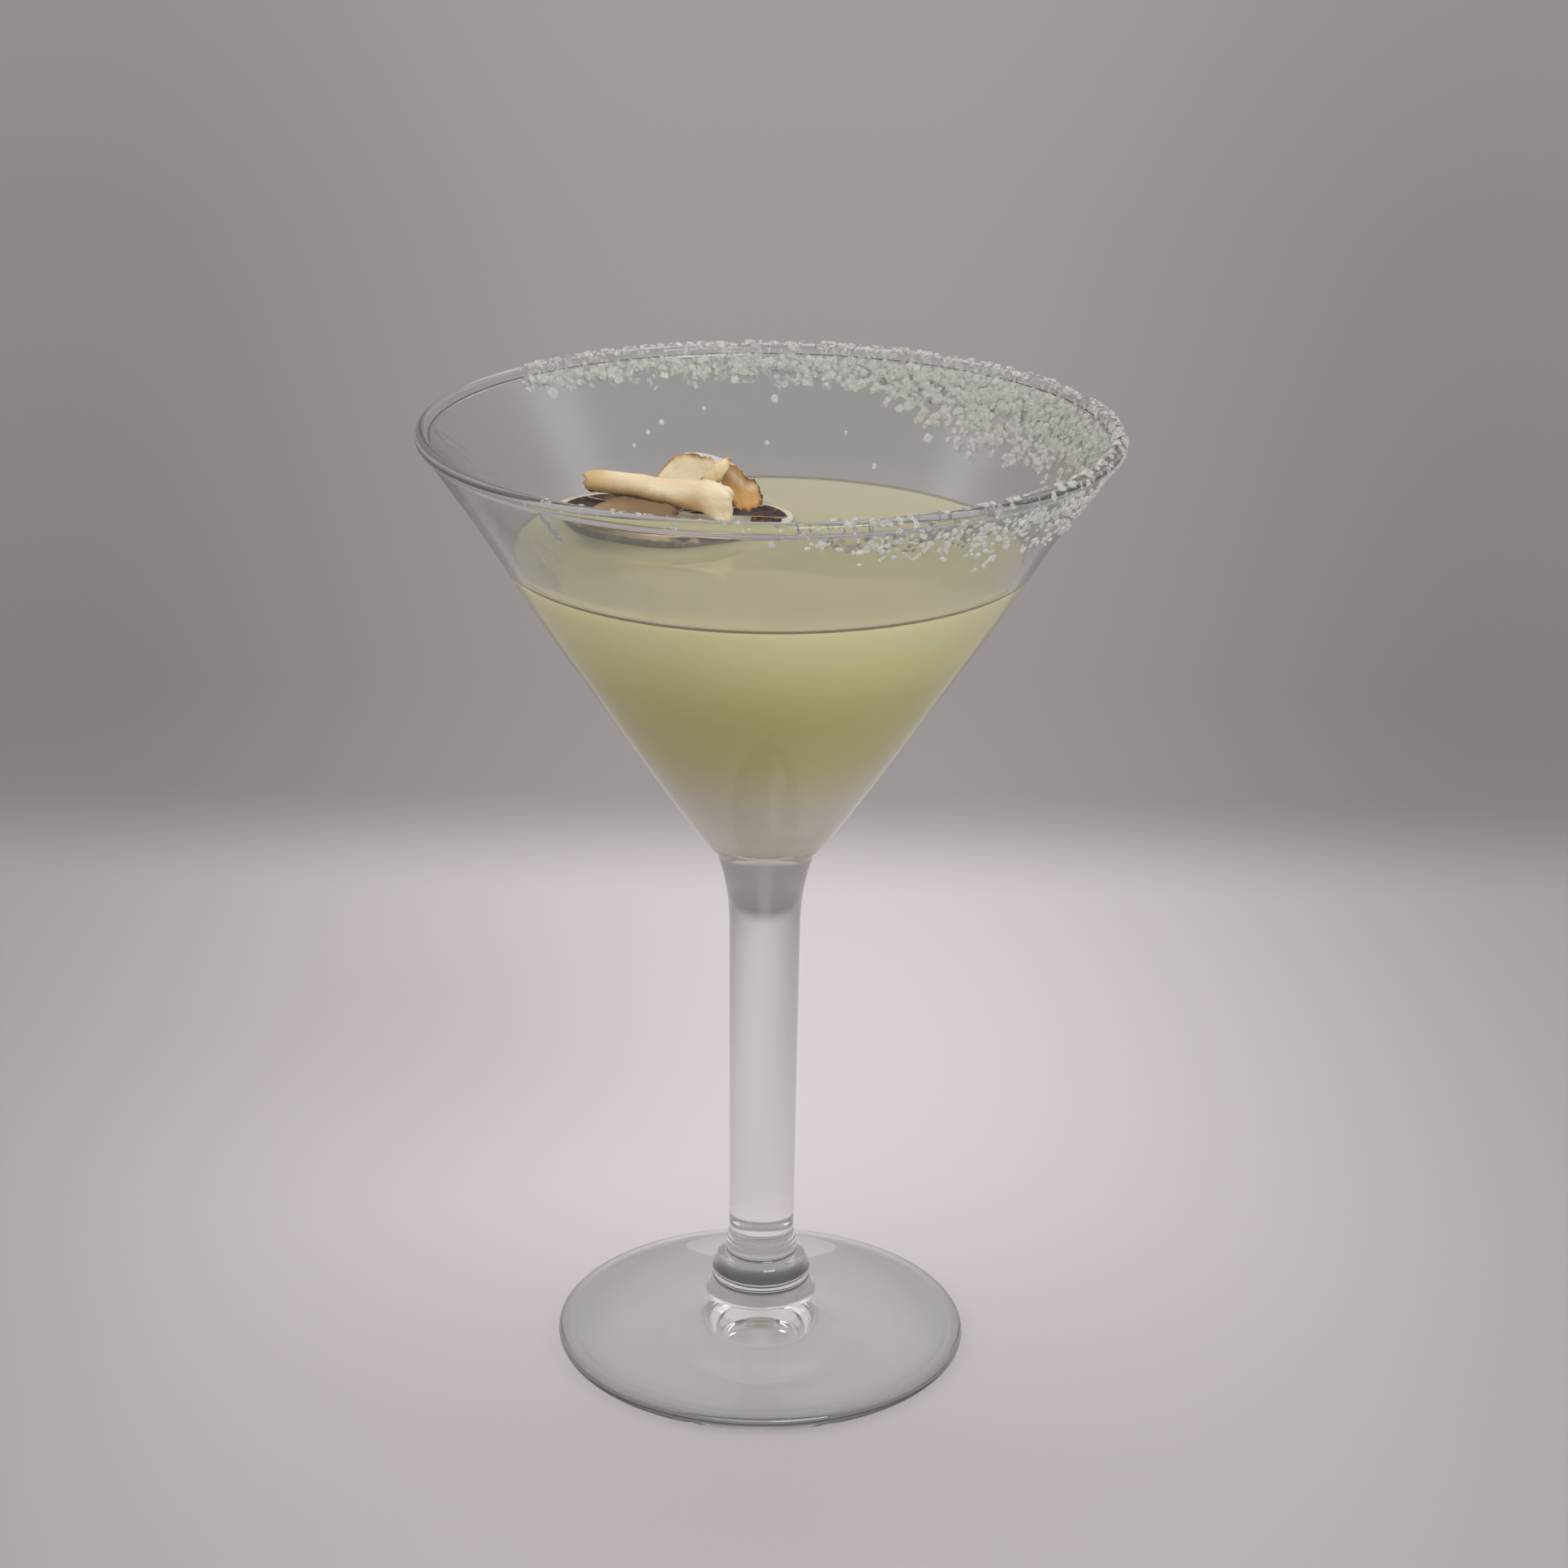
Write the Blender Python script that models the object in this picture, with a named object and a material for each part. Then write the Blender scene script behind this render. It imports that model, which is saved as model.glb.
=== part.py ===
# Coconut margarita: a stemmed cocktail glass with a sugared rim, a cloudy pale drink, and a dried lime
# wheel that floats in it with toasted coconut chips on top.
# Metres, +Z up. The origin is the centre of the foot on the table, and the glass turns about Z.
# The front of the drink faces -Y.

import math
import random

import bmesh
import bpy
from mathutils import Euler, Matrix, Vector, noise

MM = 0.001
GAP = 0.3 * MM  # clearance between pieces that touch
WELD = 0.0001 * MM

# Glass: radii and heights above the table
SIDES = 56
FOOT_RADIUS = 35.4 * MM
FOOT_EDGE = 1.15 * MM  # radius of the foot's rounded edge
FOOT_HOLLOW = 3.2 * MM  # height of the underside at the axis
FLAT_RING = 31.8 * MM  # inner radius of the flat ring that the glass stands on
FOOT_GROOVE_RADIUS = 33.2 * MM
FOOT_GROOVE_DEPTH = 0.25 * MM
FOOT_GROOVE_HALF = 0.5 * MM  # half the groove's width
FOOT_SLOPE_POWER = 1.05  # 1 is a straight slope, and higher keeps the foot flat further in
FOOT_RINGS = 5
FLARE_RADIUS = 9.1 * MM  # where the foot's slope turns up into the knop
FLARE_HEIGHT = 9.2 * MM
KNOP = ((8.75, 10.3), (8.35, 11.6), (8.45, 13.3), (7.6, 15.4), (6.15, 16.7), (6.05, 18.6), (5.6, 20.4))
STEM_RADIUS = 5.58 * MM
STEM_FOOT = 22.0 * MM  # height of the stem's narrowest place
STEM_NECK = 75.6 * MM  # height where the stem starts to widen
STEM_TAPER = 0.38 * MM  # how much wider the stem is there
BOWL_FOOT = 91.0 * MM
BOWL_FOOT_RADIUS = 8.45 * MM
STEM_FLARE_POWER = 2.4
BOWL = ((10.9, 93.6), (18.2, 104.0), (30.2, 122.0), (38.2, 134.0), (46.8, 148.0), (55.63, 161.25))
RIM_RADIUS = 55.9 * MM  # to the middle of the bead
RIM_HEIGHT = 163.0 * MM
BEAD = 1.1 * MM
CONE_SLOPE = math.radians(34.0)  # of the bowl's wall at the rim, from the vertical
WALL_AT_RIM = 1.5 * MM
WALL_AT_FOOT = 2.0 * MM
CAVITY_BOTTOM = 93.8 * MM
CAVITY_ROUND = 16.0 * MM
CAVITY_BLEND = 1.5 * MM  # from the end of the round bottom to the first ring of the cone

# Drink
LEVEL = 143.5 * MM
MENISCUS_RISE = 0.5 * MM
MENISCUS_WIDTH = 2.2 * MM

# Lime wheel
WHEEL_CENTRE = Vector((-15.9 * MM, 15.3 * MM, 144.7 * MM))  # middle of its upper face
WHEEL_RADIUS = 19.6 * MM
WHEEL_OVAL = 0.87  # its depth as a share of its width
WHEEL_THICKNESS = 2.6 * MM
WHEEL_SIDES = 50
WHEEL_TILT = (math.radians(-4.2), math.radians(2.2))  # about X and about Y
# how far its left and right edges lie up, its front and back down, and a wave
WHEEL_WARP = (0.2 * MM, 0.15 * MM, 0.1 * MM)
SEGMENTS = 10
SEGMENT_SIDES = WHEEL_SIDES // SEGMENTS
RIND = 1.3 * MM
SEGMENT_SINK = 0.55 * MM
PITH = 0.14  # share of the radius that the solid middle takes
CUTTER_HEIGHT = 6.0 * MM  # above the wheel's upper face, to clear the drink's surface

# Coconut chips, rolled sheets laid out from left to right. A station gives the roll's axis (x, y, z)
# and radius in mm, and the first and last angle of its section that the sheet covers, from +Y upwards.
CHIP_THICKNESS = 0.7 * MM
CURL = (
    (-30.7, 17.3, 149.3, 1.2, -80, 225),
    (-29.4, 17.1, 149.35, 1.62, -90, 238),
    (-23.6, 15.9, 149.1, 1.85, -40, 234),
    (-19.2, 14.8, 148.6, 2.0, -10, 232),
    (-13.3, 13.3, 148.1, 2.45, 30, 230),
    (-10.0, 12.5, 147.9, 2.9, 62, 232),
    (-7.6, 12.2, 147.75, 2.95, 100, 226),
    (-6.1, 12.1, 147.6, 2.6, 138, 196),
)
BACK = (
    (-19.6, 14.6, 152.4, 6.3, -62, -34),
    (-18.0, 14.6, 152.3, 6.7, -72, -10),
    (-15.4, 14.8, 152.0, 6.8, -74, 8),
    (-12.4, 15.0, 152.0, 6.8, -72, 10),
    (-9.8, 14.8, 151.9, 6.6, -62, 2),
    (-9.0, 14.6, 151.8, 6.4, -36, -8),
)
FOLD = (
    (-11.3, 16.9, 149.2, 0.9, 40, 215),
    (-9.8, 16.8, 150.1, 1.5, 20, 215),
    (-8.4, 16.9, 151.4, 1.6, 10, 215),
    (-6.9, 17.1, 152.5, 1.1, 30, 190),
)
RIGHT = (
    (-7.9, 14.2, 151.0, 5.9, -20, 8),
    (-6.4, 13.9, 150.8, 5.4, -60, 14),
    (-4.9, 13.6, 150.4, 4.9, -74, 10),
    (-3.7, 13.4, 150.1, 4.6, -78, -1),
    (-2.4, 13.4, 150.2, 4.6, -70, -6),
    (-1.4, 13.6, 150.2, 4.5, -60, -42),
)
UNDER = (
    (-31.6, 3.0, 207.4, 60.0, -89.0, -91.7),
    (-29.0, 3.0, 207.3, 60.0, -84.9, -93.1),
    (-25.8, 3.0, 207.2, 60.0, -80.7, -93.8),
    (-22.0, 3.0, 207.05, 60.0, -81.0, -94.0),
    (-18.4, 3.0, 206.9, 60.0, -81.9, -93.2),
    (-15.2, 3.0, 206.8, 60.0, -83.3, -90.0),
)

# Sugar crust on the rim, by azimuth in degrees from +X towards +Y
SUGAR_FROM = -88.0
SUGAR_TO = 139.0
SUGAR_STEP = 3.6
SUGAR_THICKNESS = 0.5 * MM
CRUST_STEPS = 5  # of its section, over the rim
SUGAR_DEPTH = 5.5 * MM
SUGAR_DEPTH_HEAVY = 12.4 * MM
SUGAR_HEAVY_AT = 4.0
SUGAR_HEAVY_SPREAD = 55.0
SUGAR_RAGGED = 1.6 * MM
SUGAR_LEAST = 0.35  # share of the full depth at both ends
SUGAR_TAPER = 22.0  # azimuth that it would take to go from nothing to the full depth
SUGAR_BUMPS = 0.4  # share of its thickness
GRAIN = 0.75 * MM
GRAINS = 50
GRAIN_STEPS = 12  # of the section that the grains lie on, over the rim
GRAIN_OUT = 0.95  # share of a grain's size from the gap to its middle, so that no corner meets the glass


def clear_scene():
    for old in list(bpy.data.objects):
        bpy.data.objects.remove(old)


def material(name, colour, roughness, transmission=0.0, ior=1.45):
    made = bpy.data.materials.new(name)
    made.use_nodes = True
    shader = made.node_tree.nodes["Principled BSDF"]
    shader.inputs["Base Color"].default_value = (*colour, 1.0)
    shader.inputs["Roughness"].default_value = roughness
    shader.inputs["Metallic"].default_value = 0.0
    shader.inputs["Transmission Weight"].default_value = transmission
    shader.inputs["IOR"].default_value = ior
    return made


def finish(name, bm, made):
    """Makes the object of a finished mesh."""
    mesh = bpy.data.meshes.new(name)
    bm.to_mesh(mesh)
    bm.free()
    mesh.materials.append(made)
    mesh.shade_smooth()
    mesh.set_sharp_from_angle(angle=math.radians(35))
    made_object = bpy.data.objects.new(name, mesh)
    bpy.context.scene.collection.objects.link(made_object)
    return made_object


def turned(outline, sides):
    """A closed body turned about Z from (radius, height) points that start and end on the axis."""
    bm = bmesh.new()
    corners = [bm.verts.new((radius, 0, height)) for radius, height in outline]
    edges = [bm.edges.new(pair) for pair in zip(corners, corners[1:])]
    bmesh.ops.spin(
        bm,
        geom=corners + edges,
        cent=(0, 0, 0),
        axis=(0, 0, 1),
        angle=math.tau,
        steps=sides,
        use_merge=True,
    )
    bmesh.ops.remove_doubles(bm, verts=bm.verts, dist=WELD)
    bmesh.ops.recalc_face_normals(bm, faces=bm.faces)
    return bm


def mm_points(points):
    return [(radius * MM, height * MM) for radius, height in points]


def catmull_rom(a, b, c, d, t):
    """The value at a share t of the way from b to c, with a before them and d after them."""
    square = 2 * a - 5 * b + 4 * c - d
    cube = 3 * b - a - 3 * c + d
    return 0.5 * (2 * b + (c - a) * t + square * t**2 + cube * t**3)


def smooth_path(points, steps):
    """Points of a smooth curve through the given ones, with steps to each span."""
    ends = [points[0]] + list(points) + [points[-1]]
    path = []
    for span in zip(ends, ends[1:], ends[2:], ends[3:]):
        for i in range(steps):
            path.append(tuple(catmull_rom(*values, i / steps) for values in zip(*span)))
    return path + [points[-1]]


def arc(centre, radius, start, end, steps):
    """(radius, height) points on a circle from one angle to another, in degrees from outwards."""
    angles = [math.radians(start + (end - start) * i / steps) for i in range(steps + 1)]
    return [(centre[0] + radius * math.cos(a), centre[1] + radius * math.sin(a)) for a in angles]


def shifted(path, distance):
    """The path moved to its left by a distance, or by distance(height)."""
    moved = []
    for i, (r, z) in enumerate(path):
        before, after = path[max(i - 1, 0)], path[min(i + 1, len(path) - 1)]
        along = Vector((after[0] - before[0], after[1] - before[1])).normalized()
        by = distance(z) if callable(distance) else distance
        moved.append((r - along.y * by, z + along.x * by))
    return moved


def wall(height):
    share = (height - BOWL_FOOT) / (RIM_HEIGHT - BOWL_FOOT)
    return WALL_AT_FOOT + (WALL_AT_RIM - WALL_AT_FOOT) * min(max(share, 0), 1)


def bowl_outside(steps=2):
    return smooth_path(mm_points(BOWL), steps)


def bowl_inside():
    """From the bottom of the cavity, on the axis, up to the rim's bead."""
    cone = shifted(bowl_outside(steps=1), wall)
    centre = CAVITY_BOTTOM + CAVITY_ROUND
    touch = math.cos(CONE_SLOPE) * CAVITY_ROUND
    cone = [point for point in cone if point[0] > touch + CAVITY_BLEND]
    end = -math.degrees(CONE_SLOPE)
    return arc((0, centre), CAVITY_ROUND, -90, end, 4) + cone


def foot_outline():
    """From the middle of the underside, round the edge and up the slope to the knop."""
    hollow = [(FLAT_RING * share, FOOT_HOLLOW * (1 - share**2)) for share in (0.0, 0.35, 0.7, 1.0)]
    centre = (FOOT_RADIUS - FOOT_EDGE, FOOT_EDGE)
    edge = arc(centre, FOOT_EDGE, -90, 90, 4)
    top = 2 * FOOT_EDGE
    groove = [(FOOT_GROOVE_RADIUS, top - FOOT_GROOVE_DEPTH)]
    start = FOOT_GROOVE_RADIUS - FOOT_GROOVE_HALF
    slope = []
    for i in range(FOOT_RINGS):
        share = i / FOOT_RINGS
        rise = (FLARE_HEIGHT - top) * share**FOOT_SLOPE_POWER
        slope.append((start + (FLARE_RADIUS - start) * share, top + rise))
    return hollow + edge + groove + slope + [(FLARE_RADIUS, FLARE_HEIGHT)]


def stem_outline():
    lower = [(STEM_RADIUS, STEM_FOOT), (STEM_RADIUS + STEM_TAPER, STEM_NECK)]
    flare = []
    for share in (0.4, 0.7, 0.88, 1.0):
        widening = (BOWL_FOOT_RADIUS - STEM_RADIUS - STEM_TAPER) * share**STEM_FLARE_POWER
        height = STEM_NECK + (BOWL_FOOT - STEM_NECK) * share
        flare.append((STEM_RADIUS + STEM_TAPER + widening, height))
    return lower + flare


def bead_outline(offset, steps):
    """Over the rim from the outer wall to the inner wall, at a distance from the bead's surface."""
    half_wall = math.degrees(math.asin(WALL_AT_RIM / 2 / BEAD))
    down = -90 - math.degrees(CONE_SLOPE)
    first, last = down + half_wall, down + 360 - half_wall
    return arc((RIM_RADIUS, RIM_HEIGHT), BEAD + offset, first, last, steps)


def make_glass():
    outline = foot_outline() + mm_points(KNOP) + stem_outline() + bowl_outside()
    outline += bead_outline(0, 6) + bowl_inside()[::-1]
    glass = material("clear_glass", (0.93, 0.95, 0.94), 0.03, transmission=1.0, ior=1.52)
    return finish("glass", turned(outline, SIDES), glass)


def drink_outline():
    side = shifted(bowl_inside(), GAP)
    side[0] = (0, CAVITY_BOTTOM + GAP)
    wetted = LEVEL + MENISCUS_RISE
    below = [point for point in side if point[1] < wetted]
    (r0, z0), (r1, z1) = below[-1], side[len(below)]
    edge = r0 + (r1 - r0) * (wetted - z0) / (z1 - z0)
    surface = [(edge, wetted), (edge - 0.35 * MENISCUS_WIDTH, LEVEL + 0.25 * MENISCUS_RISE)]
    return below + surface + [(edge - MENISCUS_WIDTH, LEVEL), (0, LEVEL)]


def wheel_radius(angle, spread=0.0):
    ripple = 0.25 * MM * math.sin(3 * angle + 0.6) + 0.15 * MM * math.sin(7 * angle)
    return WHEEL_RADIUS + ripple + spread


def wheel_warp(point):
    """Height of the dried wheel's warp at a place on it: two opposite edges curl up."""
    across = point.x / WHEEL_RADIUS
    along = point.y / WHEEL_RADIUS
    up, down, wave = WHEEL_WARP
    return up * across**2 - down * along**2 + wave * math.sin(2.4 * along + across)


def wheel_relief(side, share):
    """How far the upper face is sunk, which is between the membranes and inside the rind."""
    inside = PITH < share < 1 - RIND / WHEEL_RADIUS
    return SEGMENT_SINK if inside and side % SEGMENT_SIDES else 0.0


def flat_relief(side, share):
    return 0.0


def disc_row(bm, share, height, spread, relief):
    """One ring of a warped disc's corners, at a share of its radius."""
    row = []
    for side in range(WHEEL_SIDES):
        angle = math.tau * side / WHEEL_SIDES
        radius = wheel_radius(angle, spread) * share
        point = Vector((radius * math.cos(angle), radius * math.sin(angle) * WHEEL_OVAL, 0))
        point.z = height + wheel_warp(point) - relief(side, share)
        row.append(bm.verts.new(point))
    return row


def disc(rings, spread, top, bottom, relief):
    """A warped disc. rings are shares of its radius, and top and bottom are its faces' heights."""
    bm = bmesh.new()
    upper = [disc_row(bm, share, top, spread, relief) for share in rings]
    lower = [disc_row(bm, share, bottom, spread, flat_relief) for share in (rings[0], rings[-1])]
    for rows, height in ((upper, top), (lower, bottom)):
        middle = bm.verts.new((0, 0, height))
        for side in range(WHEEL_SIDES):
            following = (side + 1) % WHEEL_SIDES
            bm.faces.new((middle, rows[0][side], rows[0][following]))
            for near, far in zip(rows, rows[1:]):
                bm.faces.new((near[side], far[side], far[following], near[following]))
    for side in range(WHEEL_SIDES):
        following = (side + 1) % WHEEL_SIDES
        bm.faces.new((upper[-1][side], lower[-1][side], lower[-1][following], upper[-1][following]))
    bmesh.ops.recalc_face_normals(bm, faces=bm.faces)
    tilt = Matrix.Rotation(WHEEL_TILT[0], 4, "X") @ Matrix.Rotation(WHEEL_TILT[1], 4, "Y")
    bm.transform(Matrix.Translation(WHEEL_CENTRE) @ tilt)
    return bm


def make_wheel():
    rind = 1 - RIND / WHEEL_RADIUS
    rings = (PITH - 0.02, PITH + 0.03, 0.55, rind - 0.03, rind, 1.0)
    lime = material("dried_lime", (0.12, 0.06, 0.035), 0.45)
    return finish("lime_wheel", disc(rings, 0.0, 0.0, -WHEEL_THICKNESS, wheel_relief), lime)


def make_drink():
    """The drink up to its level, with a hollow where the lime wheel lies in it."""
    cloudy = material("cloudy_drink", (0.62, 0.63, 0.42), 0.15, transmission=0.3, ior=1.34)
    drink = finish("drink", turned(drink_outline(), SIDES), cloudy)
    space = disc((0.5, 1.0), GAP, CUTTER_HEIGHT, -WHEEL_THICKNESS - GAP, flat_relief)
    cutter = finish("wheel_space", space, cloudy)
    cutter.hide_render = True
    cutter.display_type = "WIRE"
    cut = drink.modifiers.new("wheel_space", "BOOLEAN")
    cut.operation = "DIFFERENCE"
    cut.object = cutter
    return drink


def blend(start, end, share):
    return start + (end - start) * share


def station_at(stations, along):
    """The station at a share of the way along a chip, on smooth curves through the given ones."""
    spans = len(stations) - 1
    first = min(int(along * spans), spans - 1)
    ends = [stations[min(max(first + k, 0), spans)] for k in (-1, 0, 1, 2)]
    return [catmull_rom(*values, along * spans - first) for values in zip(*ends)]


def make_chip(name, stations, columns, rows, made):
    bm = bmesh.new()
    bmesh.ops.create_grid(bm, x_segments=columns, y_segments=rows, size=0.5)
    for vert in bm.verts:
        x, y, z, radius, first, last = station_at(stations, min(max(vert.co.x + 0.5, 0.0), 1.0))
        angle = math.radians(blend(first, last, vert.co.y + 0.5))
        vert.co = Vector((x, y + radius * math.cos(angle), z + radius * math.sin(angle))) * MM
    bmesh.ops.triangulate(bm, faces=bm.faces)
    chip = finish(name, bm, made)
    shell = chip.modifiers.new("thickness", "SOLIDIFY")
    shell.thickness = CHIP_THICKNESS
    shell.offset = 0.0
    return chip


def make_chips():
    pale = material("coconut_pale", (0.78, 0.6, 0.38), 0.6)
    toasted = material("coconut_toasted", (0.62, 0.36, 0.18), 0.6)
    make_chip("coconut_curl", CURL, 18, 10, pale)
    make_chip("coconut_back", BACK, 10, 8, pale)
    make_chip("coconut_fold", FOLD, 6, 7, pale)
    make_chip("coconut_right", RIGHT, 10, 8, toasted)
    make_chip("coconut_under", UNDER, 11, 6, toasted)


def sugar_depth(azimuth):
    """Slant depth of the crust below the rim: heavy on the right, thin at both ends, ragged elsewhere."""
    heavy = math.exp(-(((azimuth - SUGAR_HEAVY_AT) / SUGAR_HEAVY_SPREAD) ** 4))
    ragged = noise.noise(Vector((azimuth * 0.21, 0, 3))) * SUGAR_RAGGED
    from_end = min(azimuth - SUGAR_FROM, SUGAR_TO - azimuth)
    taper = min(1.0, SUGAR_LEAST + from_end / SUGAR_TAPER)
    return (blend(SUGAR_DEPTH, SUGAR_DEPTH_HEAVY, heavy) + ragged) * taper


def down_wall(path, depth, offset):
    """The place at a slant depth along a wall's path from the rim, and at a distance to its left."""
    start = Vector(path[0])
    for here, there in zip(path, path[1:]):
        step = Vector(there) - Vector(here)
        if depth <= step.length:
            break
        depth -= step.length
    along = step.normalized()
    spot = Vector(here) + along * depth + Vector((-along.y, along.x)) * offset
    return (spot.x, spot.y)


def rim_section(depth, offset, steps):
    """(radius, height) points round the rim at a distance from the glass, down both walls to a depth."""
    outer = down_wall(bowl_outside()[::-1], depth, offset)
    inner = down_wall(bowl_inside()[::-1], depth, -offset)
    return [outer] + bead_outline(offset, steps) + [inner]


def crust_body():
    """A strip with a U section that hangs over the rim."""
    bm = bmesh.new()
    count = round((SUGAR_TO - SUGAR_FROM) / SUGAR_STEP)
    rows = []
    for i in range(count + 1):
        azimuth = blend(SUGAR_FROM, SUGAR_TO, i / count)
        depth = sugar_depth(azimuth)
        inner = [Vector(point) for point in rim_section(depth, GAP, CRUST_STEPS)]
        outer = [Vector(point) for point in rim_section(depth, GAP + SUGAR_THICKNESS, CRUST_STEPS)]
        turn = Matrix.Rotation(math.radians(azimuth), 3, "Z")
        for k, base in enumerate(inner):
            bump = 1 + SUGAR_BUMPS * noise.noise(Vector((azimuth * 0.5, k * 0.9, 7)))
            edge = 0.5 if k in (0, len(inner) - 1) else 1.0
            outer[k] = base + (outer[k] - base) * bump * edge
        rows.append([bm.verts.new(turn @ Vector((r, 0, z))) for r, z in outer + inner[::-1]])
    for near, far in zip(rows, rows[1:]):
        for a in range(len(near)):
            b = (a + 1) % len(near)
            bm.faces.new((near[a], near[b], far[b], far[a]))
    for row in (rows[0], rows[-1]):
        for k in range(len(row) // 2 - 1):
            bm.faces.new((row[k], row[k + 1], row[-2 - k], row[-1 - k]))
    bmesh.ops.triangulate(bm, faces=bm.faces)
    bmesh.ops.recalc_face_normals(bm, faces=bm.faces)
    return bm


def grain_place(draw):
    """Where a grain sits on the crust, and its turn."""
    azimuth = draw.uniform(SUGAR_FROM + 2, SUGAR_TO - 2)
    section = rim_section(sugar_depth(azimuth) * 0.85, GAP + GRAIN_OUT * GRAIN, GRAIN_STEPS)
    pick = draw.uniform(0, len(section) - 1.01)
    start, end = Vector(section[int(pick)]), Vector(section[int(pick) + 1])
    point = start + (end - start) * (pick % 1)
    turn = Matrix.Rotation(math.radians(azimuth), 4, "Z")
    tumble = Euler([draw.uniform(0, math.tau) for _ in range(3)]).to_matrix().to_4x4()
    return turn @ Matrix.Translation((point.x, 0, point.y)) @ tumble


def make_crust():
    sugar = material("sugar", (0.8, 0.8, 0.78), 0.5)
    crust = finish("sugar_crust", crust_body(), sugar)
    draw = random.Random(12)
    grains = bpy.data.collections.new("grains")
    bpy.context.scene.collection.children.link(grains)
    for i in range(GRAINS):
        bm = bmesh.new()
        bmesh.ops.create_cube(bm, size=GRAIN * draw.uniform(0.9, 1.0))
        bm.transform(grain_place(draw))
        mesh = bpy.data.meshes.new("grain")
        bm.to_mesh(mesh)
        bm.free()
        grains.objects.link(bpy.data.objects.new(f"grain_{i}", mesh))
    join = crust.modifiers.new("grains", "BOOLEAN")
    join.operation = "UNION"
    join.solver = "MANIFOLD"
    join.operand_type = "COLLECTION"
    join.collection = grains
    graph = bpy.context.evaluated_depsgraph_get()
    joined = bpy.data.meshes.new_from_object(crust.evaluated_get(graph))
    crust.modifiers.clear()
    crust.data = joined
    for grain in list(grains.objects):
        bpy.data.objects.remove(grain)
    bpy.data.collections.remove(grains)
    return crust


clear_scene()
make_glass()
make_drink()
make_wheel()
make_chips()
make_crust()
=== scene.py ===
import math
import random

import bmesh
import bpy
import numpy as np
from mathutils import Euler, Matrix, Vector, noise


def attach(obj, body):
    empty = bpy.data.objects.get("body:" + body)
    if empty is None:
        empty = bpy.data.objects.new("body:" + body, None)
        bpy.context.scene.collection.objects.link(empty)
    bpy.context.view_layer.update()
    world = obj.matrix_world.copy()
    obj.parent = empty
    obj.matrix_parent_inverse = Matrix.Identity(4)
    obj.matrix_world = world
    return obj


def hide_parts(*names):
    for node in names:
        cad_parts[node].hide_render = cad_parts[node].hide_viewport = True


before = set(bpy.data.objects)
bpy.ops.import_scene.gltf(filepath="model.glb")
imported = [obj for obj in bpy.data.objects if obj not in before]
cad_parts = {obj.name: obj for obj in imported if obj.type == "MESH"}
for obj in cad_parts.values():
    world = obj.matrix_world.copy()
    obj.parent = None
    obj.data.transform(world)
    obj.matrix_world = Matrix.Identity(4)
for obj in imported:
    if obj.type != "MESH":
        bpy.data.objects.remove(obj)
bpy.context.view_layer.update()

mm = 0.001
spentDepth = 3.5  # bounces after which light in glass counts as spent


# ---- small helpers for meshes and node materials

def addObject(name, data):
    thing = bpy.data.objects.new(name, data)
    bpy.context.scene.collection.objects.link(thing)
    return thing


def makePiece(name, bm, *materials):
    mesh = bpy.data.meshes.new(name)
    bm.to_mesh(mesh)
    bm.free()
    for material in materials:
        mesh.materials.append(material)
    mesh.shade_smooth()
    return addObject(name, mesh)


def inPlace(piece, slotName, *nodes):
    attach(piece, "root")
    if nodes:
        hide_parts(*nodes)


def newMaterial(name, colour, roughness, **sockets):
    material = bpy.data.materials.new(name)
    material.use_nodes = True
    shader = material.node_tree.nodes["Principled BSDF"]
    shader.inputs["Base Color"].default_value = (*colour, 1)
    shader.inputs["Roughness"].default_value = roughness
    for socket, value in sockets.items():
        shader.inputs[socket.replace("_", " ")].default_value = value
    return material, shader


def scatter(shader, radius, scale):
    shader.inputs["Subsurface Radius"].default_value = radius
    shader.inputs["Subsurface Scale"].default_value = scale


def addNode(material, kind, inputs=None, **settings):
    tree = material.node_tree
    node = tree.nodes.new("ShaderNode" + kind)
    for key, value in settings.items():
        setattr(node, key, value)
    for key, value in (inputs or {}).items():
        if isinstance(value, bpy.types.NodeSocket):
            tree.links.new(value, node.inputs[key])
        else:
            node.inputs[key].default_value = value
    return node


def link(material, output, shader, socket):
    material.node_tree.links.new(output, shader.inputs[socket])


def math2(material, operation, a, b=0.0):
    return addNode(material, "Math", {0: a, 1: b}, operation=operation).outputs[0]


def plus(material, a, b):
    return math2(material, "ADD", a, b)


def minus(material, a, b):
    return math2(material, "SUBTRACT", a, b)


def times(material, a, b):
    return math2(material, "MULTIPLY", a, b)


def objectSpot(material, centre=(0, 0, 0)):
    # object coordinates in metres, counted from a centre
    coords = addNode(material, "TexCoord").outputs["Object"]
    if centre == (0, 0, 0):
        return coords
    return addNode(material, "VectorMath", {0: coords, 1: centre}, operation="SUBTRACT").outputs[0]


def axisOf(material, vector, axis):
    return addNode(material, "SeparateXYZ", {0: vector}).outputs[axis]


def lengthOf(material, vector):
    return addNode(material, "VectorMath", {0: vector}, operation="LENGTH").outputs["Value"]


def radiusOf(material, spot):
    # distance from the Z axis in metres
    flat = addNode(material, "VectorMath", {0: spot, 1: (1, 1, 0)}, operation="MULTIPLY").outputs[0]
    return lengthOf(material, flat)


def heightOf(material, spot):
    # height in mm
    return math2(material, "DIVIDE", axisOf(material, spot, "Z"), mm)


def mapped(material, vector, scale, place=(0, 0, 0)):
    return addNode(material, "Mapping", {"Vector": vector, "Location": place, "Scale": scale}).outputs[0]


def span(material, value, low, high, toLow=0.0, toHigh=1.0):
    wanted = {"Value": value, "From Min": low, "From Max": high, "To Min": toLow, "To Max": toHigh}
    return addNode(material, "MapRange", wanted, interpolation_type="SMOOTHSTEP").outputs["Result"]


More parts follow.
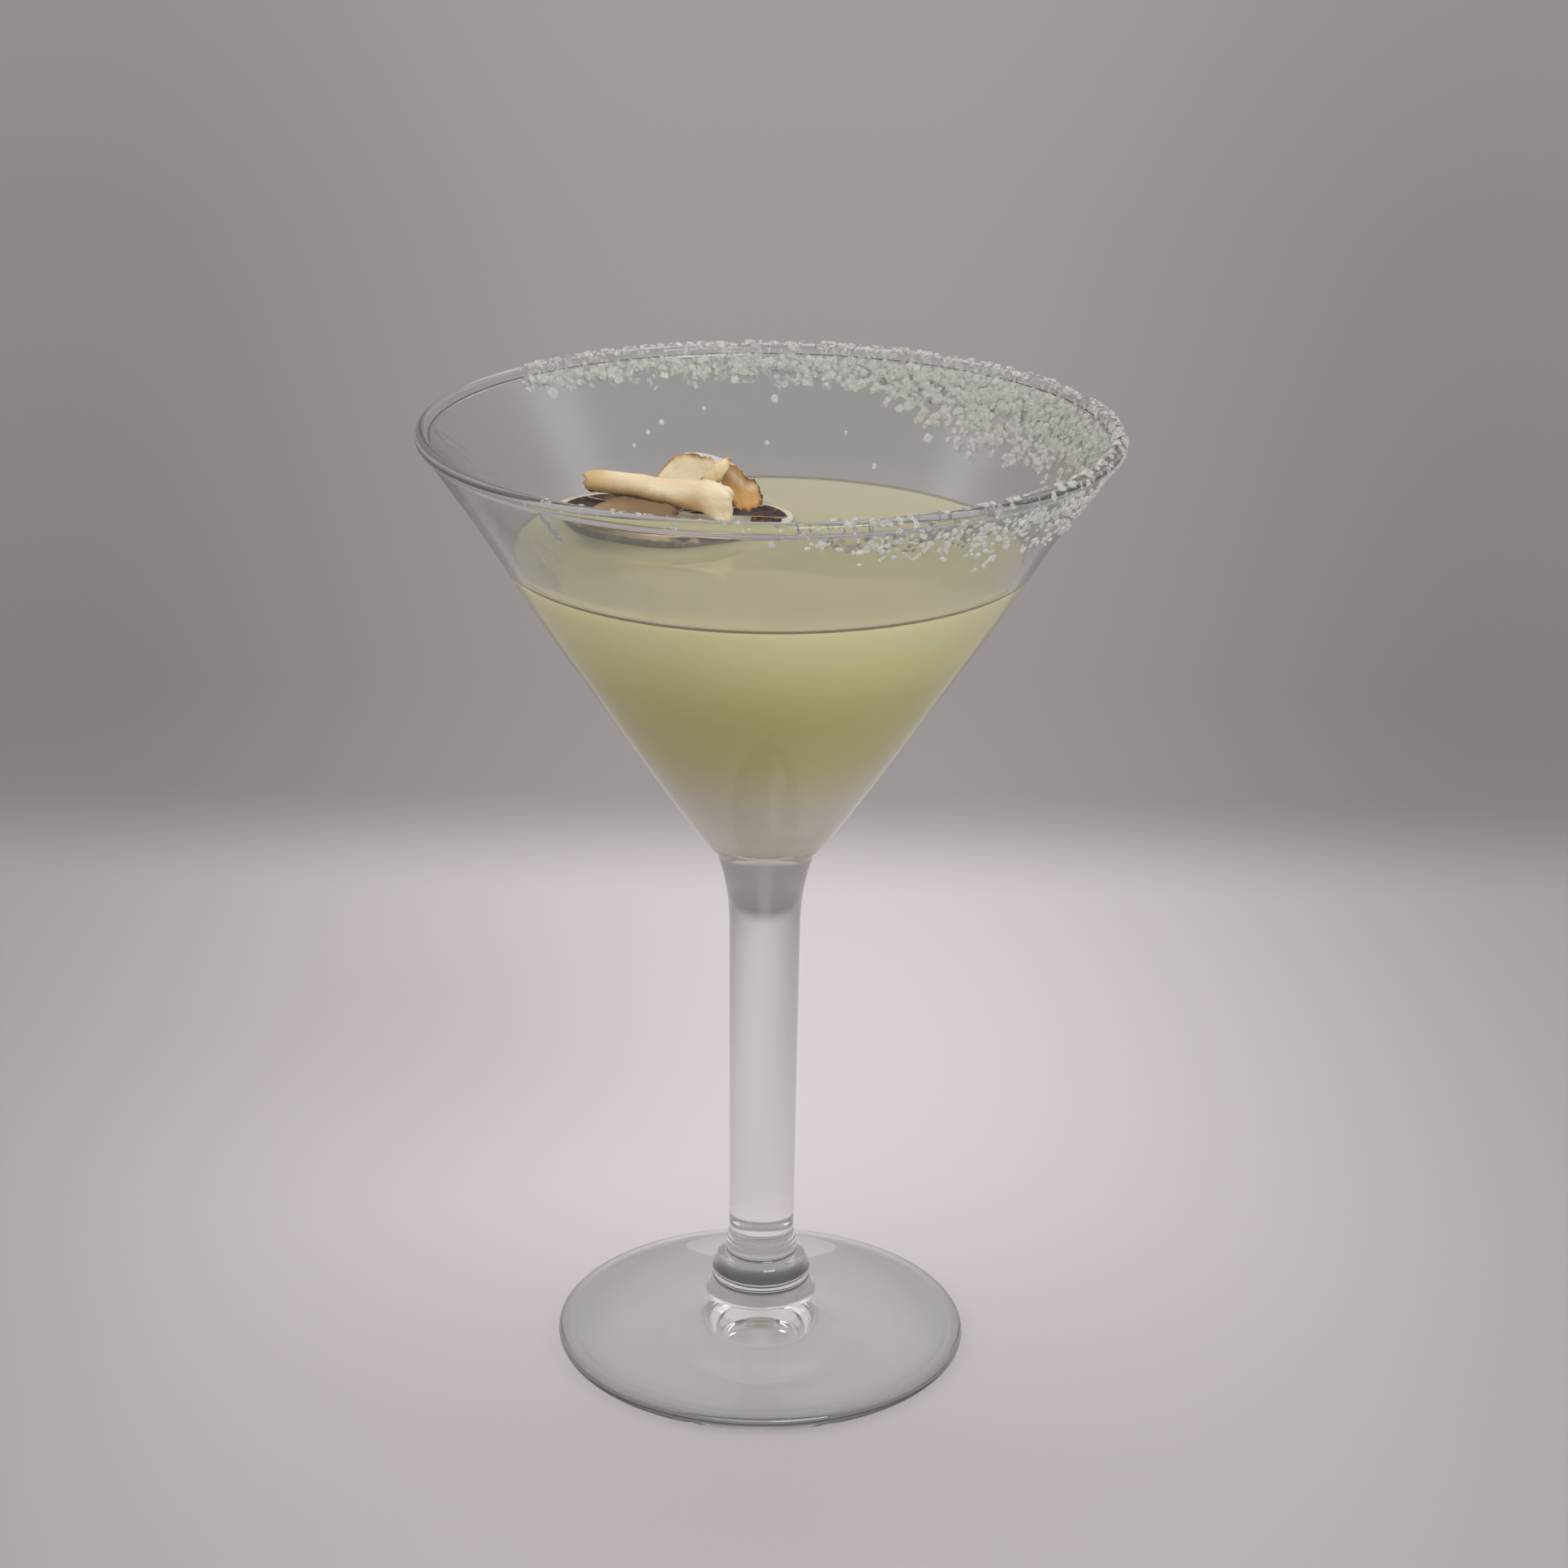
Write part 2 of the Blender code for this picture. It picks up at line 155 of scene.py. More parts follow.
def noiseOf(material, vector, scale, detail=3.0, roughness=0.5):
    wanted = {"Vector": vector, "Scale": scale, "Detail": detail, "Roughness": roughness}
    return addNode(material, "TexNoise", wanted).outputs["Fac"]


def rampOf(material, value, stops):
    node = addNode(material, "ValToRGB", {"Fac": value})
    points = node.color_ramp.elements
    while len(points) < len(stops):
        points.new(0.5)
    for point, (place, colour) in zip(points, stops):
        point.position = place
        point.color = (*colour, 1)
    return node.outputs["Color"]


def mixOf(material, share, a, b, how="MIX"):
    a, b = ((*value, 1) if isinstance(value, tuple) else value for value in (a, b))
    return addNode(material, "Mix", {0: share, 6: a, 7: b}, data_type="RGBA", blend_type=how).outputs[2]


def bumpOf(material, shader, height, strength, distance):
    wanted = {"Height": height, "Strength": strength, "Distance": distance}
    link(material, addNode(material, "Bump", wanted).outputs["Normal"], shader, "Normal")


def showMixed(material, share, first, second):
    # the material shows the first shader, and the second by share
    mixed = addNode(material, "MixShader", {"Fac": share})
    link(material, first.outputs[0], mixed, 1)
    link(material, second.outputs[0], mixed, 2)
    link(material, mixed.outputs[0], material.node_tree.nodes["Material Output"], "Surface")


def letLampsThrough(material, shader, share, spentShare):
    # rays from lamps pass straight on, so what is inside or under the glass stays lit,
    # and so do those that have gone to and fro in it, which keep spentShare of their light
    path = addNode(material, "LightPath").outputs
    spent = math2(material, "GREATER_THAN", path["Ray Depth"], spentDepth)
    wanted = {"Value": path["Is Shadow Ray"], "To Min": spentShare, "To Max": share}
    passed = addNode(material, "MapRange", wanted).outputs["Result"]
    clear = addNode(material, "BsdfTransparent", {"Color": passed})
    showMixed(material, math2(material, "MAXIMUM", path["Is Shadow Ray"], spent), shader, clear)


# ---- small helpers for outlines

def catmullRom(a, b, c, d, t):
    square = 2 * a - 5 * b + 4 * c - d
    cube = 3 * b - a - 3 * c + d
    return 0.5 * (2 * b + (c - a) * t + square * t**2 + cube * t**3)


def smoothPath(points, steps):
    ends = [points[0]] + list(points) + [points[-1]]
    path = []
    for four in zip(ends, ends[1:], ends[2:], ends[3:]):
        path += [tuple(catmullRom(*values, i / steps) for values in zip(*four)) for i in range(steps)]
    return path + [points[-1]]


def arcOf(centre, radius, start, end, steps):
    angles = [math.radians(start + (end - start) * i / steps) for i in range(steps + 1)]
    return [(centre[0] + radius * math.cos(a), centre[1] + radius * math.sin(a)) for a in angles]


def shiftedPath(path, distance):
    # the path moved to its left, by distance(height)
    moved = []
    for i, (r, z) in enumerate(path):
        before, after = path[max(i - 1, 0)], path[min(i + 1, len(path) - 1)]
        along = Vector((after[0] - before[0], after[1] - before[1])).normalized()
        moved.append((r - along.y * distance(z), z + along.x * distance(z)))
    return moved


def spun(outline, angle, steps, whole):
    # a sheet turned about Z from (radius, height) points in mm
    bm = bmesh.new()
    corners = [bm.verts.new((r * mm, 0, z * mm)) for r, z in outline]
    edges = [bm.edges.new(pair) for pair in zip(corners, corners[1:])]
    bmesh.ops.spin(bm, geom=corners + edges, axis=(0, 0, 1), angle=angle, steps=steps, use_merge=whole)
    return bm


def turned(outline, sides):
    bm = spun(outline, math.tau, sides, True)
    bmesh.ops.remove_doubles(bm, verts=bm.verts, dist=1e-7)
    bmesh.ops.recalc_face_normals(bm, faces=bm.faces)
    return bm


def blend(start, end, share):
    return start + (end - start) * share


def between(table, place):
    # value at a place in a table of (place, value) pairs, with straight lines between them
    for (x0, y0), (x1, y1) in zip(table, table[1:]):
        if place <= x1:
            return blend(y0, y1, max(0.0, (place - x0) / (x1 - x0)))
    return table[-1][1]


# ---- glass, all sizes in mm

glassLook = {
    "sides": 224,
    "footRadius": 35.4,
    "footEdge": 1.15,
    "footHollow": 3.2,
    "flatRing": 31.8,
    "grooveRadius": 33.2,
    "grooveDepth": 0.25,
    "grooveWidth": (0.5, 0.45),  # inwards and outwards
    "flare": (9.1, 9.2),
    "flareBend": 1.05,
    "knop": (
        (9.1, 9.2), (8.75, 10.3), (8.35, 11.6), (8.45, 13.3), (7.6, 15.4), (6.15, 16.7), (6.05, 18.6),
        (5.6, 20.4), (5.58, 22.0),
    ),
    "stemNeck": (5.96, 75.6),
    "stemBend": 2.4,
    "bowlFoot": (8.45, 91.0),
    "bowl": ((10.9, 93.6), (18.2, 104.0), (30.2, 122.0), (38.2, 134.0), (46.8, 148.0), (55.63, 161.25)),
    "rim": (55.9, 163.0),
    "bead": 1.1,
    "slope": 34.0,
    "wallAtRim": 1.5,
    "wallAtFoot": 2.0,
    "cavityBottom": 93.8,
    "cavityRound": 16.0,
    "cavityBlend": 1.5,  # how far outside its ball the cone starts
    "arcSteps": 14,
    "flareSteps": 24,
    "knopSteps": 6,
    # tint by height: the stem is thickest, and its darker tint is partly painted shade under the bowl and
    # drink; above the drink the wall is smeared
    "tintAndShade": (
        (0, (0.985, 0.99, 0.988)), (22, (0.985, 0.99, 0.988)), (28, (0.83, 0.835, 0.833)),
        (70, (0.85, 0.855, 0.853)), (90, (0.765, 0.77, 0.768)), (95, (0.965, 0.97, 0.968)),
        (143, (0.965, 0.97, 0.968)), (148, (0.882, 0.888, 0.892)),
    ),
    "edgeRefractedShade": (0.84, 0.85, 0.85),  # painted shade: a dark outline on the foot's edge, standing in for the darker surroundings its thick glass refracts
    "edgeTop": (4.0, 3.0),
    "edgeWidth": 0.8,
    "clear": 0.975,
    "smears": (0.56, 0.8, 0.07),  # where they start and are full, and how rough they are
    "waves": (0.06, 0.0006),
    # what light keeps that goes to and fro, by height, and by radius under footTop
    "spentShare": ((12, 0.5), (14, 0.92), (23, 0.92), (27, 0.5), (150, 0.5), (158, 0.16)),
    "footShare": ((24.0, 0.5), (33.0, 0.1)),
    "footTop": (8.0, 12.0),
    "lampShare": 0.985,
}


def wallAt(height):
    low, high = glassLook["bowlFoot"][1], glassLook["rim"][1]
    share = min(max((height - low) / (high - low), 0), 1)
    return blend(glassLook["wallAtFoot"], glassLook["wallAtRim"], share)


def bowlOutside(steps=10):
    return smoothPath(glassLook["bowl"], steps)


def bowlInside(steps=10, into=0.0):
    # from the cavity's bottom on the axis up to the bead, or moved into the wall
    look = glassLook
    cone = shiftedPath(bowlOutside(steps), lambda z: wallAt(z) - into)
    ball = look["cavityRound"]
    touch = math.cos(math.radians(look["slope"])) * ball
    cone = [point for point in cone if point[0] > touch + look["cavityBlend"]]
    return arcOf((0, look["cavityBottom"] + ball), ball + into, -90, -look["slope"], look["arcSteps"]) + cone


def footOutline():
    look = glassLook
    flat, edge, steps = look["flatRing"], look["footEdge"], look["arcSteps"]
    hollow = [(flat * i / steps, look["footHollow"] * (1 - (i / steps) ** 2)) for i in range(steps + 1)]
    rounded = arcOf((look["footRadius"] - edge, edge), edge, -90, 90, steps)
    top, groove = 2 * edge, look["grooveRadius"]
    inwards, outwards = look["grooveWidth"]
    dip = [(groove + outwards, top), (groove, top - look["grooveDepth"]), (groove - inwards, top)]
    slope = []
    for i in range(1, look["flareSteps"]):
        share = i / look["flareSteps"]
        rise = (look["flare"][1] - top) * share ** look["flareBend"]
        slope.append((blend(groove - inwards, look["flare"][0], share), top + rise))
    return hollow + rounded + dip + slope


def stemOutline():
    look = glassLook
    (neck, low), (foot, high) = look["stemNeck"], look["bowlFoot"]
    shares = [i / look["flareSteps"] for i in range(look["flareSteps"] + 1)]
    return [(blend(neck, foot, share ** look["stemBend"]), blend(low, high, share)) for share in shares]


def beadOutline(steps=22):
    half = math.degrees(math.asin(glassLook["wallAtRim"] / 2 / glassLook["bead"]))
    down = -90 - glassLook["slope"]
    return arcOf(glassLook["rim"], glassLook["bead"], down + half, down + 360 - half, steps)


def glassMaterial():
    look = glassLook
    material, shader = newMaterial("clearGlass", (1, 1, 1), 0.0, Transmission_Weight=look["clear"], IOR=1.5)
    spot = objectSpot(material)
    height, radius = heightOf(material, spot), radiusOf(material, spot)
    top = look["rim"][1]
    place = math2(material, "DIVIDE", height, top)
    # tint by height, with painted shade on the stem under the bowl and drink
    shade = rampOf(material, place, [(z / top, tintAndShade) for z, tintAndShade in look["tintAndShade"]])
    # painted shade: the foot's outer edge is darkened into a dark outline
    inner, outer = look["grooveRadius"], look["footRadius"] - look["edgeWidth"]
    edge = span(material, height, *look["edgeTop"])
    edge = times(material, edge, span(material, radius, inner * mm, outer * mm))
    link(material, mixOf(material, edge, shade, look["edgeRefractedShade"]), shader, "Base Color")
    # dried smears and fingermarks in the finish, and the slight waves of pressed glass
    start, full, rough = look["smears"]
    smears = noiseOf(material, spot, 90, 4, 0.6)
    link(material, span(material, smears, start, full, 0.0, rough), shader, "Roughness")
    bumpOf(material, shader, noiseOf(material, spot, 26, 1), *look["waves"])
    share = rampOf(material, place, [(z / top, (kept,) * 3) for z, kept in look["spentShare"]])
    (near, nearShare), (far, farShare) = look["footShare"]
    foot = span(material, radius, near * mm, far * mm, nearShare, farShare)
    foot = plus(material, foot, span(material, height, *look["footTop"]))
    letLampsThrough(material, shader, look["lampShare"], math2(material, "MINIMUM", share, foot))
    return material


outline = footOutline() + smoothPath(glassLook["knop"], glassLook["knopSteps"]) + stemOutline()
outline += bowlOutside() + beadOutline() + bowlInside()[::-1]
glass = turned(outline, glassLook["sides"])
inPlace(makePiece("cocktailGlass", glass, glassMaterial()), "clear_glass", "glass")
print("glass done")


# ---- drink

drinkLook = {
    "level": 143.5,
    "sides": 240,
    "rings": 110,
    "meniscusRise": 0.3,
    "meniscusWidth": 1.2,
    "meniscusSteps": 14,
    "intoWall": 0.15,
    "wheelRise": (-0.5, 0.8),  # how far the drink draws down and climbs at the lime wheel
    "wheelReach": 1.1,
    "wheelLip": 0.35,  # what stays dry of the wheel's side
    "underWheel": (0.6, 1.6),  # how far inside its edge the drink starts to sink, and how deep
    "ripple": 0.05,
    # colour by height in mm, from the bottom up: partly the drink's own layers, partly painted light, brighter
    # just under the surface where light from above enters, and a painted pale grey at the bottom tip for the
    # backdrop seen through
    "layerAndLightColours": (
        (93.5, (1.0, 0.98, 0.79)), (97.0, (0.88, 0.86, 0.74)), (103.0, (0.77, 0.75, 0.64)),
        (108.0, (0.71, 0.68, 0.48)), (114.0, (0.64, 0.62, 0.30)), (121.0, (0.62, 0.61, 0.235)),
        (127.0, (0.68, 0.67, 0.26)), (133.0, (0.80, 0.79, 0.38)), (138.5, (0.85, 0.84, 0.52)),
        (142.5, (0.82, 0.81, 0.54)),
    ),
    "drift": 6.0,  # height over which the colours stray
    "warmPatch": (0.88, 0.79, 0.38),
    "warmShare": 0.55,
    "warmFrom": (-0.004, 0.022),  # along X in metres
    "warmHeight": ((129.0, 132.5), (139.0, 134.5)),
    "surface": (0.47, 0.455, 0.235),
    "farReflection": (0.49, 0.475, 0.34),
    "farFrom": (-0.005, 0.035),  # along Y in metres
    "edgeRadius": 42.6,
    "meniscusShade": (0.19, 0.18, 0.10),
    "scatter": 0.008,
}

wheelSpot = Vector((-15.9, 15.3, 144.7)) * mm
wheelRadius = 19.6 * mm
wheelOval = 0.87
wheelTilt = math.radians(-4.2), math.radians(2.2)


def wheelPlane(x, y):
    # height of the wheel's upper face, without its warp
    back, right = y - wheelSpot.y, x - wheelSpot.x
    return wheelSpot.z + back * math.tan(wheelTilt[0]) - right * math.tan(wheelTilt[1])


def drinkSurface(bm):
    # the top face draws down or climbs at the wheel, sinks under it, and ripples a little
    look = drinkLook
    start, deepest = look["underWheel"]
    lowest, highest = look["wheelRise"]
    for vert in bm.verts:
        x, y, z = vert.co
        if z < (look["level"] - 0.01) * mm:
            continue
        away = (math.hypot(x - wheelSpot.x, (y - wheelSpot.y) / wheelOval) - wheelRadius) / mm
        dry = wheelPlane(x, y) / mm - look["level"] - look["wheelLip"]
        rise = min(max(dry, lowest), highest) * math.exp(-max(away, 0) / look["wheelReach"])
        vert.co.z += mm * (rise - min(deepest, max(0, -away - start)))
        vert.co.z += look["ripple"] * mm * noise.noise(Vector((x, y, 0)) * 90)


def makeDrink():
    look = drinkLook
    side = bowlInside(8, look["intoWall"])
    wetted = look["level"] + look["meniscusRise"]
    below = [point for point in side if point[1] < wetted]
    (r0, z0), (r1, z1) = below[-1], side[len(below)]
    edge = r0 + (r1 - r0) * (wetted - z0) / (z1 - z0)
    climb = []
    for i in range(look["meniscusSteps"] + 1):
        share = i / look["meniscusSteps"]
        fall = look["meniscusRise"] * (1 - (1 - share) ** 3)
        climb.append((edge - look["meniscusWidth"] * share, wetted - fall))
    rings = [(edge - look["meniscusWidth"]) * (1 - i / look["rings"]) for i in range(1, look["rings"])]
    top = climb + [(radius, look["level"]) for radius in rings] + [(0, look["level"])]
    bm = turned(below + top, look["sides"])
    drinkSurface(bm)
    bm.normal_update()
    lowest = (look["level"] - 0.3) * mm
    for face in bm.faces:
        face.material_index = 1 if face.calc_center_median().z > lowest and face.normal.z > 0.2 else 0
    return bm


def bodyMaterial():
    look = drinkLook
    low, high = look["layerAndLightColours"][0][0], look["layerAndLightColours"][-1][0]
    material, shader = newMaterial(
        "cloudyLime", (0.5, 0.5, 0.3), 0.5, IOR=1.34, Specular_IOR_Level=0.0, Subsurface_Weight=0.5
    )
    scatter(shader, (1.0, 0.9, 0.45), look["scatter"])
    spot = objectSpot(material)
    height = heightOf(material, spot)
    # the colours by height carry painted light as well as the drink's own layers
    strayed = plus(material, height, times(material, noiseOf(material, spot, 22, 2), look["drift"]))
    share = math2(material, "DIVIDE", minus(material, strayed, low + look["drift"] / 2), high - low)
    colour = rampOf(material, share, [((z - low) / (high - low), tone) for z, tone in look["layerAndLightColours"]])
    # a warm patch on the right, just under the surface
    bottom, top = look["warmHeight"]
    warm = times(material, span(material, height, *bottom), span(material, height, *top))
    warm = times(material, span(material, axisOf(material, spot, "X"), *look["warmFrom"]), warm)
    colour = mixOf(material, times(material, warm, look["warmShare"]), colour, look["warmPatch"])
    # painted shade: the wetted edge shows as a thin dark line
    line = span(material, height, look["level"] - 0.7, look["level"] - 0.5)
    link(material, mixOf(material, line, colour, look["meniscusShade"]), shader, "Base Color")
    return material


def surfaceMaterial():
    look = drinkLook
    material, shader = newMaterial("drinkSurface", look["surface"], 0.03, IOR=1.34, Subsurface_Weight=0.5)
    scatter(shader, (1.0, 0.9, 0.5), look["scatter"])
    spot = objectSpot(material)
    swirl = span(material, noiseOf(material, spot, 60, 3), 0.3, 0.7)
    shade = mixOf(material, swirl, look["surface"], tuple(0.94 * c for c in look["surface"]))
    # painted reflection: the far side of the surface takes the grey of the wall it mirrors
    far = span(material, axisOf(material, spot, "Y"), *look["farFrom"])
    shade = mixOf(material, far, shade, look["farReflection"])
    # painted shade: the meniscus shows as a dark line round the glass
    edge = look["edgeRadius"] * mm
    line = span(material, radiusOf(material, spot), edge - 1.1 * mm, edge - 0.5 * mm)
    link(material, mixOf(material, line, shade, look["meniscusShade"]), shader, "Base Color")
    bumpOf(material, shader, noiseOf(material, spot, 140, 1), 0.05, 0.0004)
    return material


inPlace(makePiece("margarita", makeDrink(), bodyMaterial(), surfaceMaterial()), "cloudy_drink", "drink")
print("drink done")


# ---- what dried on the wall above the drink, in front

hazeLook = {
    "height": (144.2, 161.0),
    "offWall": 0.12,
    "azimuth": (-178, 20),
    "steps": 100,
    "colour": (0.46, 0.475, 0.36),
    "dullColour": (0.40, 0.43, 0.33),
    # how much it covers, by azimuth
    "cover": (
        (-176, 0.0), (-158, 0.5), (-146, 0.6), (-128, 0.36), (-108, 0.14), (-75, 0.06), (-55, 0.12),
        (-30, 0.32), (0, 0.36), (18, 0.0),
    ),
    "coverRange": (-180, 90),
    "patchy": (0.7, 1.25),
}


def makeHaze():
    look = hazeLook
    low, high = look["height"]
    first, last = look["azimuth"]
    strip = [point for point in bowlInside(10, -look["offWall"]) if low < point[1] < high]
    bm = spun(strip, math.radians(last - first), look["steps"], False)
    bm.transform(Matrix.Rotation(math.radians(first), 4, "Z"))
    return bm


def hazeMaterial():
    look = hazeLook
    material, shader = newMaterial("driedHaze", look["colour"], 0.4, IOR=1.34)
    spot = objectSpot(material)
    azimuth = math2(material, "ARCTAN2", axisOf(material, spot, "Y"), axisOf(material, spot, "X"))
    first, last = look["coverRange"]
    wanted = {"Value": azimuth, "From Min": math.radians(first), "From Max": math.radians(last)}
    place = addNode(material, "MapRange", wanted).outputs["Result"]
    stops = [((degrees - first) / (last - first), (share,) * 3) for degrees, share in look["cover"]]
    cover = rampOf(material, place, stops)
    low, high = look["height"]
    height = heightOf(material, spot)
    fade = span(material, height, high, high - 6, 0.35, 1.0)
    fade = times(material, fade, span(material, height, low, low + 1.5))
    streaks = noiseOf(material, mapped(material, spot, (1.0, 1.0, 0.3)), 240, 4, 0.6)
    patchy = span(material, streaks, 0.3, 0.75, *look["patchy"])
    opaque = times(material, times(material, cover, fade), patchy)
    clouds = span(material, noiseOf(material, spot, 90, 3), 0.35, 0.65)
    link(material, mixOf(material, clouds, look["colour"], look["dullColour"]), shader, "Base Color")
    showMixed(material, opaque, addNode(material, "BsdfTransparent"), shader)
    return material


inPlace(makePiece("driedHaze", makeHaze(), hazeMaterial()), "cloudy_drink")
print("haze done")


# ---- dried lime wheel

wheelLook = {
    "thickness": 2.6,
    "segments": 10,
    "rind": 1.3,
    "sink": 0.55,
    "pith": 0.14,  # share of the radius
    "around": 200,
    "rings": 46,
    "outline": ((0.25, 3, 0.6), (0.15, 7, 0.0)),  # waves in mm, with their number and start
    "warp": (0.2, -0.15, 0.1),
    "wrinkles": ((14, 0.22), (34, 0.12)),
    "pulp": (
        (0.3, (0.008, 0.005, 0.004)), (0.5, (0.03, 0.016, 0.01)), (0.62, (0.13, 0.065, 0.03)),
        (0.75, (0.3, 0.19, 0.09)),
    ),
    "pithColour": (0.58, 0.5, 0.33),
    "middleColour": (0.5, 0.4, 0.25),
    "ringColour": (0.74, 0.67, 0.49),
    "whiteSkin": (math.radians(-98), math.radians(3), 12.9),  # azimuths, and its right edge in mm
    "whiteColours": ((0.62, 0.62, 0.55), (0.42, 0.4, 0.33)),
    "sideColours": ((0.5, 0.39, 0.22), (0.04, 0.025, 0.02)),
    "peelAndShadeColours": ((0.10, 0.09, 0.045), (0.2, 0.185, 0.09)),
}


def wheelEdge(angle):
    waves = sum(size * math.sin(count * angle + start) for size, count, start in wheelLook["outline"])
    return wheelRadius + waves * mm


def wheelWarp(x, y):
    across, along = x / wheelRadius, y / wheelRadius
    up, down, twist = wheelLook["warp"]
    return (up * across**2 + down * along**2 + twist * math.sin(2.4 * along + across)) * mm


def wheelDip(share, angle):
    # dried pulp sinks between the membranes and inside the rind, and wrinkles
    look = wheelLook
    rind = 1 - look["rind"] * mm / wheelRadius
    turn = angle / math.tau * look["segments"]
    fromMembrane = abs(turn - round(turn)) * math.tau / look["segments"] * share * wheelRadius / mm
    inside = min(1, max(0, (share - look["pith"]) / 0.05)) * min(1, max(0, (rind - share) / 0.04))
    pulp = min(1, max(0, (fromMembrane - 0.35) / 0.7)) * inside
    spot = Vector((share * math.cos(angle), share * math.sin(angle), 0))
    wrinkle = sum(noise.noise(spot * scale) * size for scale, size in look["wrinkles"])
    return (look["sink"] * pulp + wrinkle * (0.25 + 0.75 * pulp)) * mm


def makeWheel():
    look = wheelLook
    bm = bmesh.new()
    bmesh.ops.create_circle(bm, cap_ends=True, cap_tris=True, segments=look["around"], radius=1.0)
    spokes = [edge for edge in bm.edges if any(vert.co.length < 0.5 for vert in edge.verts)]
    bmesh.ops.subdivide_edges(bm, edges=spokes, cuts=look["rings"], use_grid_fill=True)
    bmesh.ops.recalc_face_normals(bm, faces=bm.faces)
    for face in bm.faces:
        if face.normal.z < 0:
            face.normal_flip()
    made = bmesh.ops.extrude_face_region(bm, geom=bm.faces[:])
    lower = {item for item in made["geom"] if isinstance(item, bmesh.types.BMVert)}
    for vert in bm.verts:
        share, angle = vert.co.xy.length, math.atan2(vert.co.y, vert.co.x)
        edge = wheelEdge(angle) * share
        x, y = edge * math.cos(angle), edge * math.sin(angle) * wheelOval
        dip = wheelDip(share, angle)
        z = wheelWarp(x, y) - dip if vert not in lower else wheelWarp(x, y) - look["thickness"] * mm + dip
        vert.co = (x, y, z)
    bmesh.ops.recalc_face_normals(bm, faces=bm.faces)
    turn = Matrix.Rotation(wheelTilt[0], 4, "X") @ Matrix.Rotation(wheelTilt[1], 4, "Y")
    bm.transform(Matrix.Translation(wheelSpot) @ turn)
    return bm


def wheelMaterial():
    look = wheelLook
    edge = wheelRadius / mm
    material, shader = newMaterial("driedLime", (0.1, 0.05, 0.03), 0.4, Subsurface_Weight=0.15)
    scatter(shader, (1.0, 0.5, 0.25), 0.0015)
    spot = objectSpot(material, tuple(wheelSpot))
    x, z = axisOf(material, spot, "X"), axisOf(material, spot, "Z")
    y = math2(material, "DIVIDE", axisOf(material, spot, "Y"), wheelOval)
    away = lengthOf(material, addNode(material, "CombineXYZ", {"X": x, "Y": y}).outputs[0])
    radius = math2(material, "DIVIDE", away, mm)
    angle = math2(material, "ARCTAN2", y, x)
    ragged = noiseOf(material, spot, 700, 3)
    mottled = noiseOf(material, spot, 420, 5, 0.65)
    # dark pulp between pale membranes
    turn = times(material, angle, look["segments"] / math.tau)
    off = math2(material, "ABSOLUTE", minus(material, turn, math2(material, "ROUND", turn)))
    fromMembrane = times(material, times(material, off, math.tau / look["segments"]), radius)
    membrane = span(material, plus(material, fromMembrane, times(material, ragged, 0.5)), 0.72, 0.34)
    pulp = rampOf(material, mottled, look["pulp"])
    colour = mixOf(material, times(material, membrane, 0.7), pulp, look["pithColour"])
    middle = span(material, plus(material, radius, times(material, ragged, 1.2)), 3.6, 2.6)
    colour = mixOf(material, middle, colour, look["middleColour"])
    # the segments in front keep their white skin up to where they are broken
    first, last, right = look["whiteSkin"]
    inTurn = span(material, angle, first, first + 0.05)
    inTurn = times(material, inTurn, span(material, angle, last, last - 0.05))
    broken = plus(material, x, times(material, ragged, 0.8 * mm))
    unbroken = span(material, broken, (right + 0.4) * mm, (right + 0.1) * mm)
    inSkin = times(material, unbroken, span(material, radius, 0.8, 1.6))
    white = mixOf(material, span(material, mottled, 0.35, 0.7), *look["whiteColours"])
    colour = mixOf(material, times(material, inTurn, inSkin), colour, white)
    ring = span(material, plus(material, radius, times(material, ragged, 0.5)), edge - 0.8, edge - 0.4)
    colour = mixOf(material, ring, colour, look["ringColour"])
    # its side shows cut skins, with dark pulp between them on the right, and the peel below, whose dark tone is
    # partly the dried peel and partly painted shade under the wheel
    tiltX, tiltY = wheelTilt
    level = times(material, axisOf(material, spot, "Y"), math.tan(tiltX))
    below = minus(material, plus(material, level, times(material, x, -math.tan(tiltY))), z)
    side = span(material, radius, edge - 1.3, edge - 0.9)
    patches = span(material, noiseOf(material, spot, 170, 1), 0.42, 0.5)
    dark = times(material, patches, span(material, x, -1.0 * mm, 1.0 * mm))
    skinShare = times(material, span(material, below, 0.1 * mm, 0.3 * mm), side)
    colour = mixOf(material, skinShare, colour, mixOf(material, dark, *look["sideColours"]))
    torn = minus(material, below, times(material, ragged, 0.9 * mm))
    shadedPeelShare = times(material, span(material, torn, 0.4 * mm, 0.55 * mm), side)
    shadedPeel = mixOf(material, span(material, mottled, 0.35, 0.65), *look["peelAndShadeColours"])
    link(material, mixOf(material, shadedPeelShare, colour, shadedPeel), shader, "Base Color")
    bumpOf(material, shader, noiseOf(material, spot, 1100, 4, 0.6), 0.35, 0.0003)
    return material


inPlace(makePiece("driedLimeWheel", makeWheel(), wheelMaterial()), "dried_lime", "lime_wheel")
print("lime wheel done")


# ---- toasted coconut chips, as thin rolled sheets laid out from left to right

chipLook = {
    "thickness": 0.7,
    "thinEdge": 0.35,  # share of the thickness left at the edges
    "columns": 44,
    "rows": 34,
    "ragged": 0.9,
    "lip": 1.7,  # how far the curl's broad end turns out at its lower edge
    "lipAlong": (0.88, 0.3),  # its middle and half its length, as shares of the chip
    "lipAcross": (0.8, 0.2),  # where it starts to turn, and over how much
}

